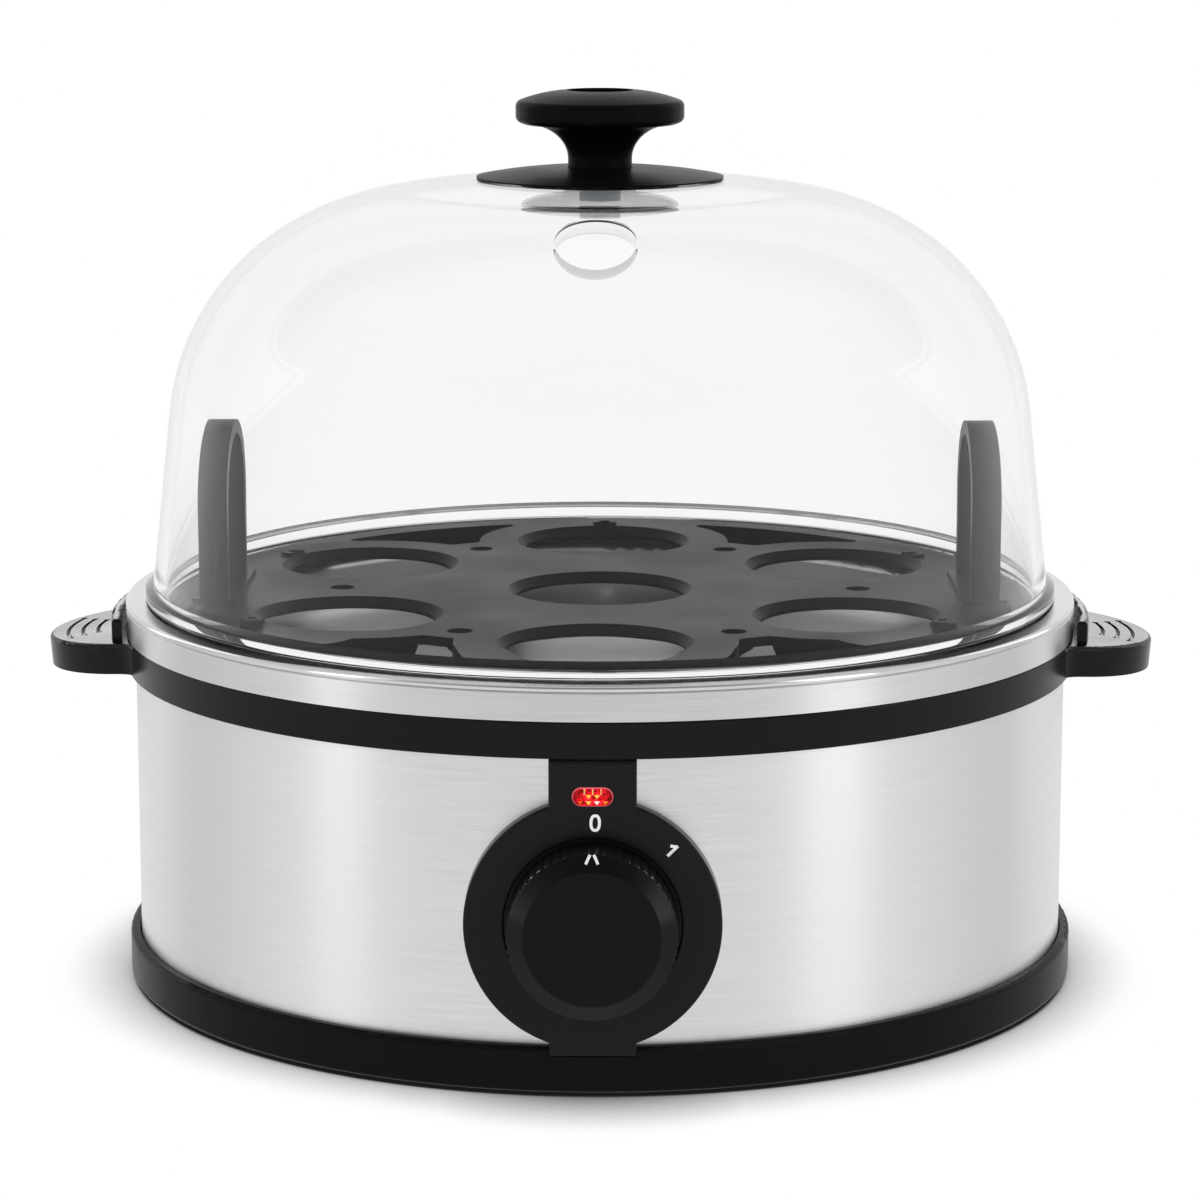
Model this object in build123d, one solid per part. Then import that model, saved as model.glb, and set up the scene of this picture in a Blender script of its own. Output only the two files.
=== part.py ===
from build123d import *
import math
import os

# Fits shared by all pieces (mm)
overrun = 1.0
face_gap = 0.3
slip_gap = 0.05
sheet_wall = 0.8

# Heights of the stack, from the table up
foot_height = 0.7
base_ring_height = 7.6
band_show_height = 47.5
upper_ring_height = 6.1
rim_skirt_height = 5.8

# Radii of the stack
band_radius = 82.5
base_ledge = 1.9
ring_ledge = 1.3
rim_ledge = 1.6
band_gap = 0.3

# Base housing and its screw bosses
floor_wall = 2.0
rib_wall = 1.9
rib_height = 5.5
base_edge_radius = 0.8
boss_count = 4
boss_radius = 4.2
boss_height = 12.5
boss_margin = 1.0
vent_count = 12
vent_circle_radius = 38.0
vent_length = 16.0
vent_width = 3.0

# Housing screws
screw_head_radius = 3.0
screw_head_height = 2.4
screw_head_depth = 4.5
screw_radius = 1.5
screw_bite = 10.0

# Rubber feet
foot_radius = 7.0
foot_margin = 3.0
foot_stem_radius = 3.0
foot_stem_rise = 1.2

# Upper ring, posts and ears
flange_wall = 3.0
post_radius = 3.6
upstand_wall = 1.6
ring_edge_radius = 0.4
ear_circle_radius = 19.5
ear_inset = 4.9
ear_root_radius = 6.0
ear_hinge_inset = 3.8
ear_drop = 0.4
ear_slope = 4.7
ear_wall = 5.3
ear_edge_radius = 0.8
groove_centre_inset = 13.8
groove_radii = (23.5, 26.2, 28.8)
groove_half_angles = (13.7, 16.1, 18.3)
groove_width = 0.7
groove_depth = 0.7
groove_dot_radius = 0.6
guard_gap = 0.9
guard_wall = 1.7
guard_height = 3.1
guard_half_width = 15.5
guard_edge_radius = 0.6

# Boiler pan
rim_width = 6.5
ledge_depth = 4.2
ledge_width = 6.8
pan_depth = 11.0
pan_corner_radius = 6.0
rim_bend_radius = 0.5
rim_edge_radius = 0.6
bead_height = 1.1
bead_line_width = 0.35
bead_line_depth = 0.25
seal_height = 1.5
seal_width = 1.8
pan_stud_count = 3
pan_stud_radius = 1.5
pan_stud_length = 7.0
pan_stud_angle = 60.0
pan_nut_radius = 3.0
pan_nut_height = 2.4

# Heater under the pan
spreader_margin = 3.0
spreader_wall = 3.0
element_radius = 32.0
element_tube_radius = 3.6
element_flat_share = 0.75
element_gap_angle = 60.0
pin_radius = 1.2
pin_length = 13.0
shield_margin = 7.0
shield_drop = 10.5
shield_wall = 0.8
shield_hole_radius = 13.0
pin_hole_radius = 3.4
shield_post_radius = 2.0
shield_post_margin = 2.4
shield_post_count = 3
shield_nut_radius = 3.2
shield_nut_height = 2.4

# Thermostat and thermal fuse
thermostat_radius = 8.5
thermostat_height = 6.5
thermostat_can_radius = 6.5
blade_width = 4.0
blade_wall = 0.8
blade_length = 8.0
blade_spacing = 10.0
clamp_length = 30.0
clamp_width = 6.0
clamp_wall = 1.0
fuse_radius = 2.2
fuse_length = 14.0
fuse_pin_radius = 0.9
fuse_pin_run = 4.0
fuse_margin = 1.2
fuse_clip_width = 6.0
fuse_clip_tab = 5.0

# Control panel
panel_radius = 20.8
panel_centre_height = 28.0
panel_proud = 2.1
neck_width = 14.1
neck_sink = 1.4
panel_gap = 0.1
well_radius = 15.0
well_depth = 0.8
peg_radius = 2.6
panel_wall = 1.6
hub_bore_radius = 5.2

# Indicator light
lens_width = 6.6
lens_height = 3.05
lens_rise = 21.25
lens_proud = 0.8
lens_bevel = 0.6
lamp_radius = 1.5
lamp_length = 6.0
holder_radius = 3.6
holder_flange_radius = 4.8
holder_flange_wall = 1.5

# Rotary switch
bracket_wall = 1.2
bracket_width = 36.0
bracket_drop = 15.5
bracket_standoff = 3.4
switch_width = 24.0
switch_height = 26.0
switch_depth = 14.0
switch_bush_radius = 5.0
switch_screw_head_radius = 2.4
switch_screw_head_height = 1.6
switch_screw_radius = 1.1
tab_width = 5.0
tab_wall = 0.8
tab_length = 6.0
tab_spacing = 12.0
shaft_radius = 3.0
shaft_flat = 0.7
shaft_engage = 5.5
shaft_seat = 6.0

# Control knob
knob_radius = 13.7
knob_length = 9.0
knob_chamfer_radial = 2.7
knob_chamfer_length = 1.6
knob_wall = 2.0
knob_face_wall = 2.6
knob_hub_radius = 5.4
knob_teeth = 52
knob_groove_radius = 0.3
knob_rib_count = 4
knob_rib_wall = 1.2

# Terminal block and cord gland
block_width = 30.0
block_depth = 12.0
block_height = 11.0
block_place = 50.0
block_post_radius = 3.0
block_post_height = 3.0
block_hole_radius = 2.0
block_pole_spacing = 20.0
gland_height = 20.8
gland_bore_radius = 3.6
gland_neck_radius = 6.2
gland_flange_radius = 8.5
gland_flange_wall = 2.2
gland_length = 11.0

# Leads
lead_radius = 1.3
lead_drop = 9.0
lead_bend_share = 0.4

# Egg tray
tray_margin = 2.2
tray_wall = 2.0
tray_rise = 4.2
tray_edge_radius = 1.0
land_margin = 0.2
egg_count = 6
egg_hole_radius = 15.0
egg_seat_bevel = 1.4
land_radius = 23.7
slot_margin = 3.9
slot_start = 3.0
slot_turns = (-120.0, -60.0, 60.0, 120.0)
slot_corner_radius = 1.2
drip_hole_radius = 2.2
drip_inset = 3.5
drain_boss_radius = 2.3
drain_hole_radius = 1.1
drain_offset = 2.7
drain_boss_height = 0.6

# Tray handles
handle_margin = 8.1
handle_depth = 5.0
handle_half_width = 14.0
handle_wall = 2.5
handle_height = 30.1
handle_pad_margin = 1.5
handle_pad_height = 0.7
gusset_wall = 1.2
gusset_height = 14.0
gusset_depth = 2.2

# Lid dome, from the foot up to the crown
dome_foot_margin = 1.8
dome_wall = 2.0
dome_draft = 6.3
dome_wall_height = 32.7
haunch_radius = 42.7
haunch_sweep = 52.74
shoulder_radius = 50.9
shoulder_sweep = 23.03
foot_lip = 1.2
foot_lip_height = 1.7
foot_flare_height = 1.2
foot_edge_radius = 0.4
vent_radius = 6.5
vent_place = 51.0

# Lid knob
knob_seat_gap = 0.1
spigot_radius = 4.5
spigot_hole_gap = 0.3
flange_radius = 21.65
flange_edge = 0.25
flange_crown = 1.1
flange_bulge = 0.35
neck_radius = 5.6
neck_height = 1.4
flare_height = 6.1
cap_radius = 14.75
cap_under_radius = 13.4
cap_side_height = 3.3
cap_under_height = 0.5
cap_crown_height = 2.0
cap_edge_radius = 1.2
cap_crown_share = 0.7
recess_radius = 5.8
recess_depth = 2.4
washer_radius = 13.8
washer_wall = 0.8
lid_screw_head_radius = 3.6
lid_screw_head_height = 2.2
lid_screw_radius = 1.6
lid_screw_bite = 9.0

# Levels that follow
z_base = foot_height
z_floor = z_base + floor_wall
z_base_top = z_base + base_ring_height
z_ring = z_base_top + band_show_height
z_ring_top = z_ring + upper_ring_height
z_rim = z_ring_top + rim_skirt_height
z_bead = z_rim - bead_height
z_ledge = z_rim - ledge_depth
z_flange = z_ledge - sheet_wall
z_flange_under = z_flange - flange_wall
z_boss = z_base + boss_height
z_pan_floor = z_ledge - pan_depth
z_spreader = z_pan_floor - sheet_wall
z_spreader_under = z_spreader - spreader_wall
z_shield = z_spreader_under - shield_drop
z_panel = z_base + panel_centre_height
z_lens = z_panel + lens_rise
z_tray_seat = z_ledge + face_gap
z_tray = z_tray_seat + tray_rise
z_lid = z_rim + face_gap

# Radii and depths that follow
base_radius = band_radius + base_ledge
ring_radius = band_radius + ring_ledge
rim_radius = band_radius + rim_ledge
band_inner = band_radius - sheet_wall
socket_radius = band_radius + band_gap
step_radius = rim_radius - rim_width
pan_radius = step_radius - ledge_width
flange_inner = pan_radius + sheet_wall + rim_bend_radius + slip_gap
seal_inner = step_radius + sheet_wall + rim_bend_radius + slip_gap
boss_circle_radius = band_inner - band_gap - boss_radius - boss_margin
foot_circle_radius = boss_circle_radius - boss_radius - foot_radius - foot_margin
ear_circle_place = ring_radius - ear_inset
ear_hinge = ring_radius - ear_hinge_inset
shield_post_circle_radius = element_radius + element_tube_radius + shield_post_radius + shield_post_margin
spreader_radius = shield_post_circle_radius + shield_post_radius + spreader_margin
shield_radius = spreader_radius + shield_margin
fuse_place = element_radius - element_tube_radius - fuse_clip_tab - fuse_radius - clamp_wall - fuse_margin
peg_spacing = switch_width + 2 * (switch_screw_head_radius + face_gap)
tray_radius = step_radius - tray_margin
tray_inner = tray_radius - tray_wall
egg_ring_radius = tray_inner - land_radius - land_margin
slot_outer_radius = tray_inner - slot_margin
slot_inner_radius = egg_ring_radius + slot_start
drip_circle_radius = egg_ring_radius - drip_inset
drain_circle_radius = egg_ring_radius + egg_hole_radius + drain_offset
handle_place = tray_radius - handle_margin
dome_foot_radius = step_radius + dome_foot_margin
y_panel = -(band_radius + panel_proud)
y_bracket = -(band_radius - bracket_standoff)
y_switch = y_bracket + bracket_wall
y_tab = y_switch + switch_depth
y_tab_end = y_tab + tab_length

BOTTOM = (Align.CENTER, Align.CENTER, Align.MIN)
pieces = {}


def upright(radius, low, high, x=0.0, y=0.0):
    """Round bar standing on a level."""
    return Pos(x, y, low) * Cylinder(radius, high - low, align=BOTTOM)


def tube(outer, inner, low, high, x=0.0, y=0.0):
    """Round tube standing on a level."""
    bore = upright(inner, low - overrun, high + overrun, x, y)
    return upright(outer, low, high, x, y) - bore


def lying(radius, front, back, x=0.0, z=0.0):
    """Round bar along the depth of the object."""
    return Pos(x, front, z) * Rot(-90, 0, 0) * Cylinder(radius, back - front, align=BOTTOM)


def turned(outline):
    """Solid of revolution round the upright axis from a face of radius and height."""
    return revolve(Plane.XZ * outline, axis=Axis.Z)


def block(low, high):
    """Square block between two corners."""
    size = [b - a for a, b in zip(low, high)]
    return Pos(*low) * Box(*size, align=(Align.MIN, Align.MIN, Align.MIN))


def polar(radius, angle):
    """Place on a circle, with the angle in degrees from +X."""
    turn = math.radians(angle)
    return radius * math.cos(turn), radius * math.sin(turn)


def around(count, radius, start=0.0):
    """Evenly spaced places on a circle."""
    return [polar(radius, start + 360.0 * i / count) for i in range(count)]


def facing(sketch, front, back):
    """Prism from a sketch of width and height, between two depths."""
    return extrude(Plane((0, back, 0), (1, 0, 0), (0, -1, 0)) * sketch, back - front)


def wire(radius, *points):
    """Round wire along straight runs joined by tangent arcs."""
    bends = []
    for before, here, after in zip(points, points[1:], points[2:]):
        run = Vector(*here) - Vector(*before)
        onward = Vector(*after) - Vector(*here)
        turn = math.radians(run.get_angle(onward))
        bends.append(lead_bend_share * min(run.length, onward.length) / math.tan(turn / 2))
    path = FilletPolyline(*points, radius=bends)
    return sweep(Plane(path @ 0, z_dir=path % 0) * Circle(radius), path=path)


# Base housing: floor, outer ring notched for the panel, rib inside the band, bosses and vents
def base_housing():
    shell = turned(make_face(FilletPolyline(
        (0, z_base), (base_radius, z_base), (base_radius, z_base_top), (socket_radius, z_base_top),
        (socket_radius, z_floor), (0, z_floor),
        radius=(0, base_edge_radius, base_edge_radius, 0, 0, 0), close=True)))
    rib_outer = band_inner - band_gap
    shell += tube(rib_outer, rib_outer - rib_wall, z_base, z_floor + rib_height)
    for x, y in around(boss_count, boss_circle_radius, 45.0):
        shell += upright(boss_radius, z_base, z_boss, x, y)
    for x, y in around(boss_count, boss_circle_radius, 45.0):
        shell -= upright(screw_head_radius + face_gap, z_base - overrun,
                         z_base + screw_head_depth, x, y)
        shell -= upright(screw_radius + face_gap, z_base, z_boss + overrun, x, y)
    for x, y in around(boss_count, foot_circle_radius, 45.0):
        shell -= upright(foot_stem_radius + slip_gap, z_base - overrun, z_floor + overrun, x, y)
    for x in (-block_width / 4, block_width / 4):
        shell += upright(block_post_radius, z_base, z_floor + block_post_height, x, block_place)
    notch = neck_width / 2 + panel_gap
    shell -= block((-notch, -base_radius - overrun, z_base_top - neck_sink - panel_gap),
                   (notch, -band_radius + sheet_wall / 2, z_base_top + overrun))
    for i in range(vent_count):
        slot = extrude(SlotOverall(vent_length, vent_width), floor_wall + 2 * overrun)
        turn = 360.0 * (i + 0.5) / vent_count
        shell -= Rot(0, 0, turn) * Pos(vent_circle_radius, 0, z_base - overrun) * slot
    return shell


pieces["base_housing"] = base_housing()

foot_plug = [upright(foot_radius, 0, z_base, x, y)
             + upright(foot_stem_radius, z_base, z_floor + foot_stem_rise, x, y)
             for x, y in around(boss_count, foot_circle_radius, 45.0)]
pieces["rubber_feet"] = Compound(foot_plug)


def housing_screw(x, y):
    seat = z_base + screw_head_depth
    head = upright(screw_head_radius, seat - screw_head_height, seat, x, y)
    return head + upright(screw_radius, seat, z_boss + screw_bite, x, y)


pieces["housing_screws"] = Compound(
    [housing_screw(x, y) for x, y in around(boss_count, boss_circle_radius, 45.0)])


# Body band: rolled strip between the base and the upper ring, pierced front and back
def pill(width, height):
    return SlotOverall(width, height)


def body_band():
    band = tube(band_radius, band_inner, z_floor, z_flange_under)
    deep = band_radius + overrun
    band -= lying(hub_bore_radius + face_gap, -deep, -band_radius / 2, 0, z_panel)
    for x in (-peg_spacing / 2, peg_spacing / 2):
        band -= lying(peg_radius + face_gap, -deep, -band_radius / 2, x, z_panel)
    window = Pos(0, z_lens) * pill(lens_width + 2 * face_gap, lens_height + 2 * face_gap)
    band -= facing(window, -deep, -band_radius / 2)
    band -= lying(gland_neck_radius + face_gap, band_radius / 2, deep, 0, z_base + gland_height)
    return band


pieces["body_band"] = body_band()


# Upper ring: grips the band, carries the pan, the screw posts and the two ears
def on_ear(side):
    """Frame on the sloped top of an ear, with x pointing outwards."""
    turn = 0.0 if side > 0 else 180.0
    return Rot(0, 0, turn) * Pos(ear_hinge, 0, z_ring_top - ear_drop) * Rot(0, ear_slope, 0)


def ear(side):
    reach = 2 * ear_circle_radius
    outline = Circle(ring_radius) + Pos(ear_circle_place, 0) * Circle(ear_circle_radius)
    outline = fillet(outline.vertices(), ear_root_radius)
    slab = Pos(-ear_hinge, 0, -ear_wall) * extrude(outline, ear_wall)
    top = slab.faces().sort_by(Axis.Z)[-1]
    slab = fillet(top.outer_wire().edges(), ear_edge_radius)
    slab &= block((0, -reach, -ear_wall), (reach, reach, 0))
    return on_ear(side) * slab - upright(socket_radius, z_ring - overrun, z_ring_top + overrun)


def ear_grooves(side):
    cuts = []
    for radius, half_angle in zip(groove_radii, groove_half_angles):
        arc = CenterArc((0, 0), radius, -half_angle, 2 * half_angle)
        cut = Pos(0, 0, -groove_depth) * extrude(SlotArc(arc, groove_width), groove_depth + overrun)
        for turn in (-half_angle, half_angle):
            cut += upright(groove_dot_radius, -groove_depth, overrun, *polar(radius, turn))
        cuts.append(on_ear(side) * Pos(-groove_centre_inset, 0) * cut)
    return cuts


def ear_guard(side):
    inner = rim_radius + guard_gap
    reach = inner + ear_circle_radius
    wall = tube(inner + guard_wall, inner, z_ring, z_ring_top + guard_height)
    wall &= block((0, -guard_half_width, z_ring), (reach, guard_half_width, z_rim))
    top = wall.faces().sort_by(Axis.Z)[-1]
    return Rot(0, 0, 0 if side > 0 else 180) * fillet(top.outer_wire().edges(), guard_edge_radius)


def upper_ring():
    ring = turned(make_face(FilletPolyline(
        (flange_inner, z_flange_under), (socket_radius, z_flange_under), (socket_radius, z_ring),
        (ring_radius, z_ring), (ring_radius, z_ring_top), (seal_inner + upstand_wall, z_ring_top),
        (seal_inner + upstand_wall, z_rim - sheet_wall - seal_height),
        (seal_inner, z_rim - sheet_wall - seal_height), (seal_inner, z_flange),
        (flange_inner, z_flange), radius=(0, 0, 0, 0, ring_edge_radius, 0, 0, 0, 0, 0), close=True)))
    for side in (-1, 1):
        ring += ear(side)
        ring += ear_guard(side)
        for cut in ear_grooves(side):
            ring -= cut
    for x, y in around(boss_count, boss_circle_radius, 45.0):
        ring += upright(post_radius, z_boss, z_flange_under + flange_wall / 2, x, y)
        ring -= upright(screw_radius + slip_gap, z_boss - overrun, z_boss + screw_bite + overrun, x, y)
    for x, y in around(pan_stud_count, (flange_inner + step_radius) / 2, pan_stud_angle):
        ring -= upright(pan_stud_radius + face_gap, z_flange_under - overrun, z_flange + overrun, x, y)
    return ring


pieces["upper_ring"] = upper_ring()


# Boiler pan: one drawn sheet from the skirt, with its bead line, over the rim to ledge and floor
def boiler_pan():
    t = sheet_wall
    bend = rim_bend_radius
    corner = pan_corner_radius
    return turned(make_face(FilletPolyline(
        (0, z_pan_floor), (pan_radius, z_pan_floor), (pan_radius, z_ledge), (step_radius, z_ledge),
        (step_radius, z_rim), (rim_radius, z_rim), (rim_radius, z_bead + bead_line_width / 2),
        (rim_radius - bead_line_depth, z_bead), (rim_radius, z_bead - bead_line_width / 2),
        (rim_radius, z_ring_top), (rim_radius - t, z_ring_top), (rim_radius - t, z_rim - t),
        (step_radius + t, z_rim - t),
        (step_radius + t, z_ledge - t), (pan_radius + t, z_ledge - t),
        (pan_radius + t, z_pan_floor - t), (0, z_pan_floor - t),
        radius=(0, corner, bend + t, bend, bend + t, rim_edge_radius, 0, 0, 0, 0,
                0, 0, bend, bend + t, bend, corner + t, 0), close=True)))


pieces["boiler_pan"] = boiler_pan()

pieces["pan_seal"] = tube(seal_inner + seal_width, seal_inner,
                          z_rim - sheet_wall - seal_height, z_rim - sheet_wall)

stud_places = around(pan_stud_count, (flange_inner + step_radius) / 2, pan_stud_angle)
pieces["pan_studs"] = Compound(
    [upright(pan_stud_radius, z_flange - pan_stud_length, z_flange, x, y) for x, y in stud_places])


def hex_nut(radius, bore, low, high, x, y):
    nut = Pos(x, y, low) * extrude(RegularPolygon(radius, 6), high - low)
    return nut - upright(bore, low - overrun, high + overrun, x, y)


pieces["pan_nuts"] = Compound(
    [hex_nut(pan_nut_radius, pan_stud_radius + slip_gap, z_flange_under - pan_nut_height,
             z_flange_under, x, y) for x, y in stud_places])

# Heater: spreader disc under the pan floor and the ring element pressed on it
pieces["heat_spreader"] = upright(spreader_radius, z_spreader_under, z_spreader)


def heating_element():
    drop = element_tube_radius * element_flat_share
    centre = z_spreader_under - drop
    section = Plane.XZ * Pos(element_radius, centre) * Circle(element_tube_radius)
    ring = revolve(section, axis=Axis.Z, revolution_arc=360.0 - element_gap_angle)
    ring = Rot(0, 0, 90.0 + element_gap_angle / 2) * ring
    reach = element_radius + 2 * element_tube_radius
    ring -= block((-reach, -reach, z_spreader_under), (reach, reach, z_spreader))
    for turn in (-1, 1):
        x, y = polar(element_radius, 90.0 + turn * element_gap_angle / 2)
        ring += upright(pin_radius, centre - pin_length, centre, x, y)
    return ring


pieces["heating_element"] = heating_element()
z_pin = z_spreader_under - element_tube_radius * element_flat_share - pin_length
pin_places = [polar(element_radius, 90.0 + turn * element_gap_angle / 2) for turn in (-1, 1)]

shield_places = around(shield_post_count, shield_post_circle_radius, -90.0)
pieces["shield_posts"] = Compound(
    [upright(shield_post_radius, z_shield, z_spreader_under, x, y)
     + upright(shield_post_radius / 2, z_shield - shield_wall - shield_nut_height, z_shield, x, y)
     for x, y in shield_places])
pieces["shield_nuts"] = Compound(
    [hex_nut(shield_nut_radius, shield_post_radius / 2 + slip_gap,
             z_shield - shield_wall - shield_nut_height, z_shield - shield_wall, x, y)
     for x, y in shield_places])


def fuse_pin_places():
    reach = fuse_length / 2 + fuse_pin_run
    return [(side * reach, -fuse_place) for side in (-1, 1)]


def heat_shield():
    t = shield_wall
    lip = shield_drop / 2
    dish = turned(make_face(Polyline(
        (shield_hole_radius, z_shield - t), (shield_radius, z_shield - t),
        (shield_radius + lip, z_shield + lip), (shield_radius + lip - t, z_shield + lip),
        (shield_radius - t, z_shield), (shield_hole_radius, z_shield), close=True)))
    for x, y in shield_places:
        dish -= upright(shield_post_radius / 2 + slip_gap, z_shield - 2 * t, z_shield + t, x, y)
    for x, y in pin_places + fuse_pin_places():
        dish -= upright(pin_hole_radius, z_shield - 2 * t, z_shield + t, x, y)
    return dish


pieces["heat_shield"] = heat_shield()


# Thermostat on the middle of the spreader, held by a clamp strip
def thermostat():
    step = z_spreader_under - thermostat_height / 2
    body = upright(thermostat_can_radius, step, z_spreader_under)
    body += upright(thermostat_radius, z_spreader_under - thermostat_height, step)
    low = z_spreader_under - thermostat_height - blade_length
    for x in (-blade_spacing / 2, blade_spacing / 2):
        body += block((x - blade_wall / 2, -blade_width / 2, low),
                      (x + blade_wall / 2, blade_width / 2, z_spreader_under - thermostat_height))
    return body


pieces["thermostat"] = thermostat()
z_blade = z_spreader_under - thermostat_height - blade_length
lead_bend_level = z_blade - lead_drop


def thermostat_clamp():
    step = z_spreader_under - thermostat_height / 2
    ear_low = z_spreader_under - clamp_wall
    hoop = thermostat_radius + face_gap
    strip = block((-clamp_length / 2, -clamp_width / 2, ear_low),
                  (clamp_length / 2, clamp_width / 2, z_spreader_under))
    ring = tube(hoop + clamp_wall, thermostat_can_radius + face_gap, step, z_spreader_under)
    strip += ring
    strip -= upright(thermostat_can_radius + face_gap, step - overrun, z_spreader_under + overrun)
    for x in (-clamp_length / 2, clamp_length / 2):
        inset = math.copysign(clamp_width / 2, x)
        strip += upright(clamp_width / 3, ear_low - clamp_wall, ear_low, x - inset)
    return strip


pieces["thermostat_clamp"] = thermostat_clamp()


def thermal_fuse():
    level = z_spreader_under - fuse_radius
    body = Pos(0, -fuse_place, level) * Rot(0, 90, 0) * Cylinder(fuse_radius, fuse_length)
    for x, y in fuse_pin_places():
        inside = math.copysign(fuse_length / 4, x)
        body += wire(fuse_pin_radius, (inside, y, level), (x, y, level), (x, y, z_blade))
    return body


pieces["thermal_fuse"] = thermal_fuse()


def fuse_clip():
    level = z_spreader_under - fuse_radius
    inner = fuse_radius + slip_gap
    hoop = Pos(0, -fuse_place, level) * Rot(0, 90, 0) * Cylinder(inner + clamp_wall, fuse_clip_width)
    side = inner + clamp_wall
    half = fuse_clip_width / 2
    hoop += block((-half, -fuse_place - side - fuse_clip_tab, z_spreader_under - clamp_wall),
                  (half, -fuse_place + side, z_spreader_under))
    hoop += block((-half, -fuse_place - side, level), (half, -fuse_place + side, z_spreader_under))
    hoop -= block((-fuse_length, -fuse_place - inner, level),
                  (fuse_length, -fuse_place + inner, z_spreader + overrun))
    hoop -= Pos(0, -fuse_place, level) * Rot(0, 90, 0) * Cylinder(inner, 2 * fuse_length)
    hoop -= block((-fuse_length, -fuse_place - fuse_length, z_spreader_under),
                  (fuse_length, -fuse_place + fuse_length, z_spreader))
    return hoop


pieces["fuse_clip"] = fuse_clip()


# Control panel: keyhole fascia seated on the band, with pegs for the switch bracket
def keyhole():
    half = neck_width / 2
    reach = math.sqrt(panel_radius ** 2 - half ** 2)
    low = z_base_top - neck_sink
    high = z_ring - panel_gap
    edges = [Line((-half, low), (half, low)), Line((-half, high), (half, high))]
    for side in (-1, 1):
        edges += [
            Line((side * half, low), (side * half, z_panel - reach)),
            ThreePointArc((side * half, z_panel - reach), (side * panel_radius, z_panel),
                          (side * half, z_panel + reach)),
            Line((side * half, z_panel + reach), (side * half, high))]
    return make_face(edges)


def control_panel():
    plate = facing(keyhole(), y_panel, -band_radius / 2)
    plate -= upright(band_radius + panel_gap, 0, z_rim)
    floor = y_panel + well_depth
    plate -= lying(well_radius, y_panel - overrun, floor, 0, z_panel)
    plate += lying(hub_bore_radius, floor, y_bracket, 0, z_panel)
    plate -= lying(shaft_radius + 2 * face_gap, y_panel - overrun, y_bracket + overrun, 0, z_panel)
    for x in (-peg_spacing / 2, peg_spacing / 2):
        plate += lying(peg_radius, y_panel + panel_proud / 2, y_bracket, x, z_panel)
        plate -= lying(switch_screw_radius + slip_gap, y_panel + panel_wall, y_bracket + overrun, x, z_panel)
    window = Pos(0, z_lens) * pill(lens_width + 2 * panel_gap, lens_height + 2 * panel_gap)
    plate -= facing(window, y_panel - overrun, -band_radius / 2)
    return plate


pieces["control_panel"] = control_panel()

# Indicator light: bevelled lens, neon lamp and the holder behind them
y_holder = -(band_inner - face_gap)
lens_body = facing(Pos(0, z_lens) * pill(lens_width, lens_height), y_panel - lens_proud, y_holder)
lens_front = lens_body.faces().sort_by(Axis.Y)[0]
pieces["indicator_lens"] = chamfer(lens_front.outer_wire().edges(), lens_bevel)


def lamp_holder():
    back = y_switch + lamp_length / 2
    body = lying(holder_radius, y_holder, back, 0, z_lens)
    body += lying(holder_flange_radius, y_switch, y_switch + holder_flange_wall, 0, z_lens)
    return body - lying(lamp_radius + slip_gap, y_holder - overrun, y_holder + lamp_length, 0, z_lens)


pieces["lamp_holder"] = lamp_holder()
pieces["neon_lamp"] = lying(lamp_radius, y_holder, y_holder + lamp_length, 0, z_lens)


# Rotary switch: bracket, body, screws, terminals and shaft
def switch_bracket():
    top = z_lens + holder_flange_radius
    plate = block((-bracket_width / 2, y_bracket, z_panel - bracket_drop),
                  (bracket_width / 2, y_switch, top))
    shoulder = (bracket_width - neck_width) / 2
    for side in (-1, 1):
        middle = side * (neck_width + shoulder) / 2
        plate -= block((middle - shoulder / 2, y_bracket - overrun, z_panel + bracket_drop),
                       (middle + shoulder / 2, y_switch + overrun, top + overrun))
    plate -= lying(switch_bush_radius + face_gap, y_bracket - overrun, y_switch + overrun, 0, z_panel)
    plate -= lying(holder_radius + slip_gap, y_bracket - overrun, y_switch + overrun, 0, z_lens)
    for x in (-peg_spacing / 2, peg_spacing / 2):
        plate -= lying(switch_screw_radius + face_gap, y_bracket - overrun, y_switch + overrun, x, z_panel)
    return plate


pieces["switch_bracket"] = switch_bracket()


def switch_body():
    body = block((-switch_width / 2, y_switch, z_panel - switch_height / 2),
                 (switch_width / 2, y_tab, z_panel + switch_height / 2))
    body += lying(switch_bush_radius, y_bracket, y_switch, 0, z_panel)
    return body - lying(shaft_radius + slip_gap, y_bracket - overrun, y_switch + shaft_seat, 0, z_panel)


pieces["switch_body"] = switch_body()


def bracket_screw(x):
    head = lying(switch_screw_head_radius, y_switch, y_switch + switch_screw_head_height, x, z_panel)
    return head + lying(switch_screw_radius, y_panel + panel_wall + face_gap, y_switch, x, z_panel)


pieces["bracket_screws"] = Compound([bracket_screw(x) for x in (-peg_spacing / 2, peg_spacing / 2)])
pieces["switch_terminals"] = Compound(
    [block((x - tab_wall / 2, y_tab, z_panel - tab_width / 2),
           (x + tab_wall / 2, y_tab_end, z_panel + tab_width / 2))
     for x in (-tab_spacing / 2, tab_spacing / 2)])

knob_back = y_panel + well_depth - face_gap
knob_front = knob_back - knob_length
shaft_front = knob_front + knob_face_wall + face_gap


def switch_shaft():
    rod = lying(shaft_radius, shaft_front, y_switch + shaft_seat - face_gap, 0, z_panel)
    flat = z_panel + shaft_radius - shaft_flat
    return rod - block((-shaft_radius, shaft_front - overrun, flat),
                       (shaft_radius, shaft_front + shaft_engage, flat + shaft_radius))


pieces["switch_shaft"] = switch_shaft()


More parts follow.
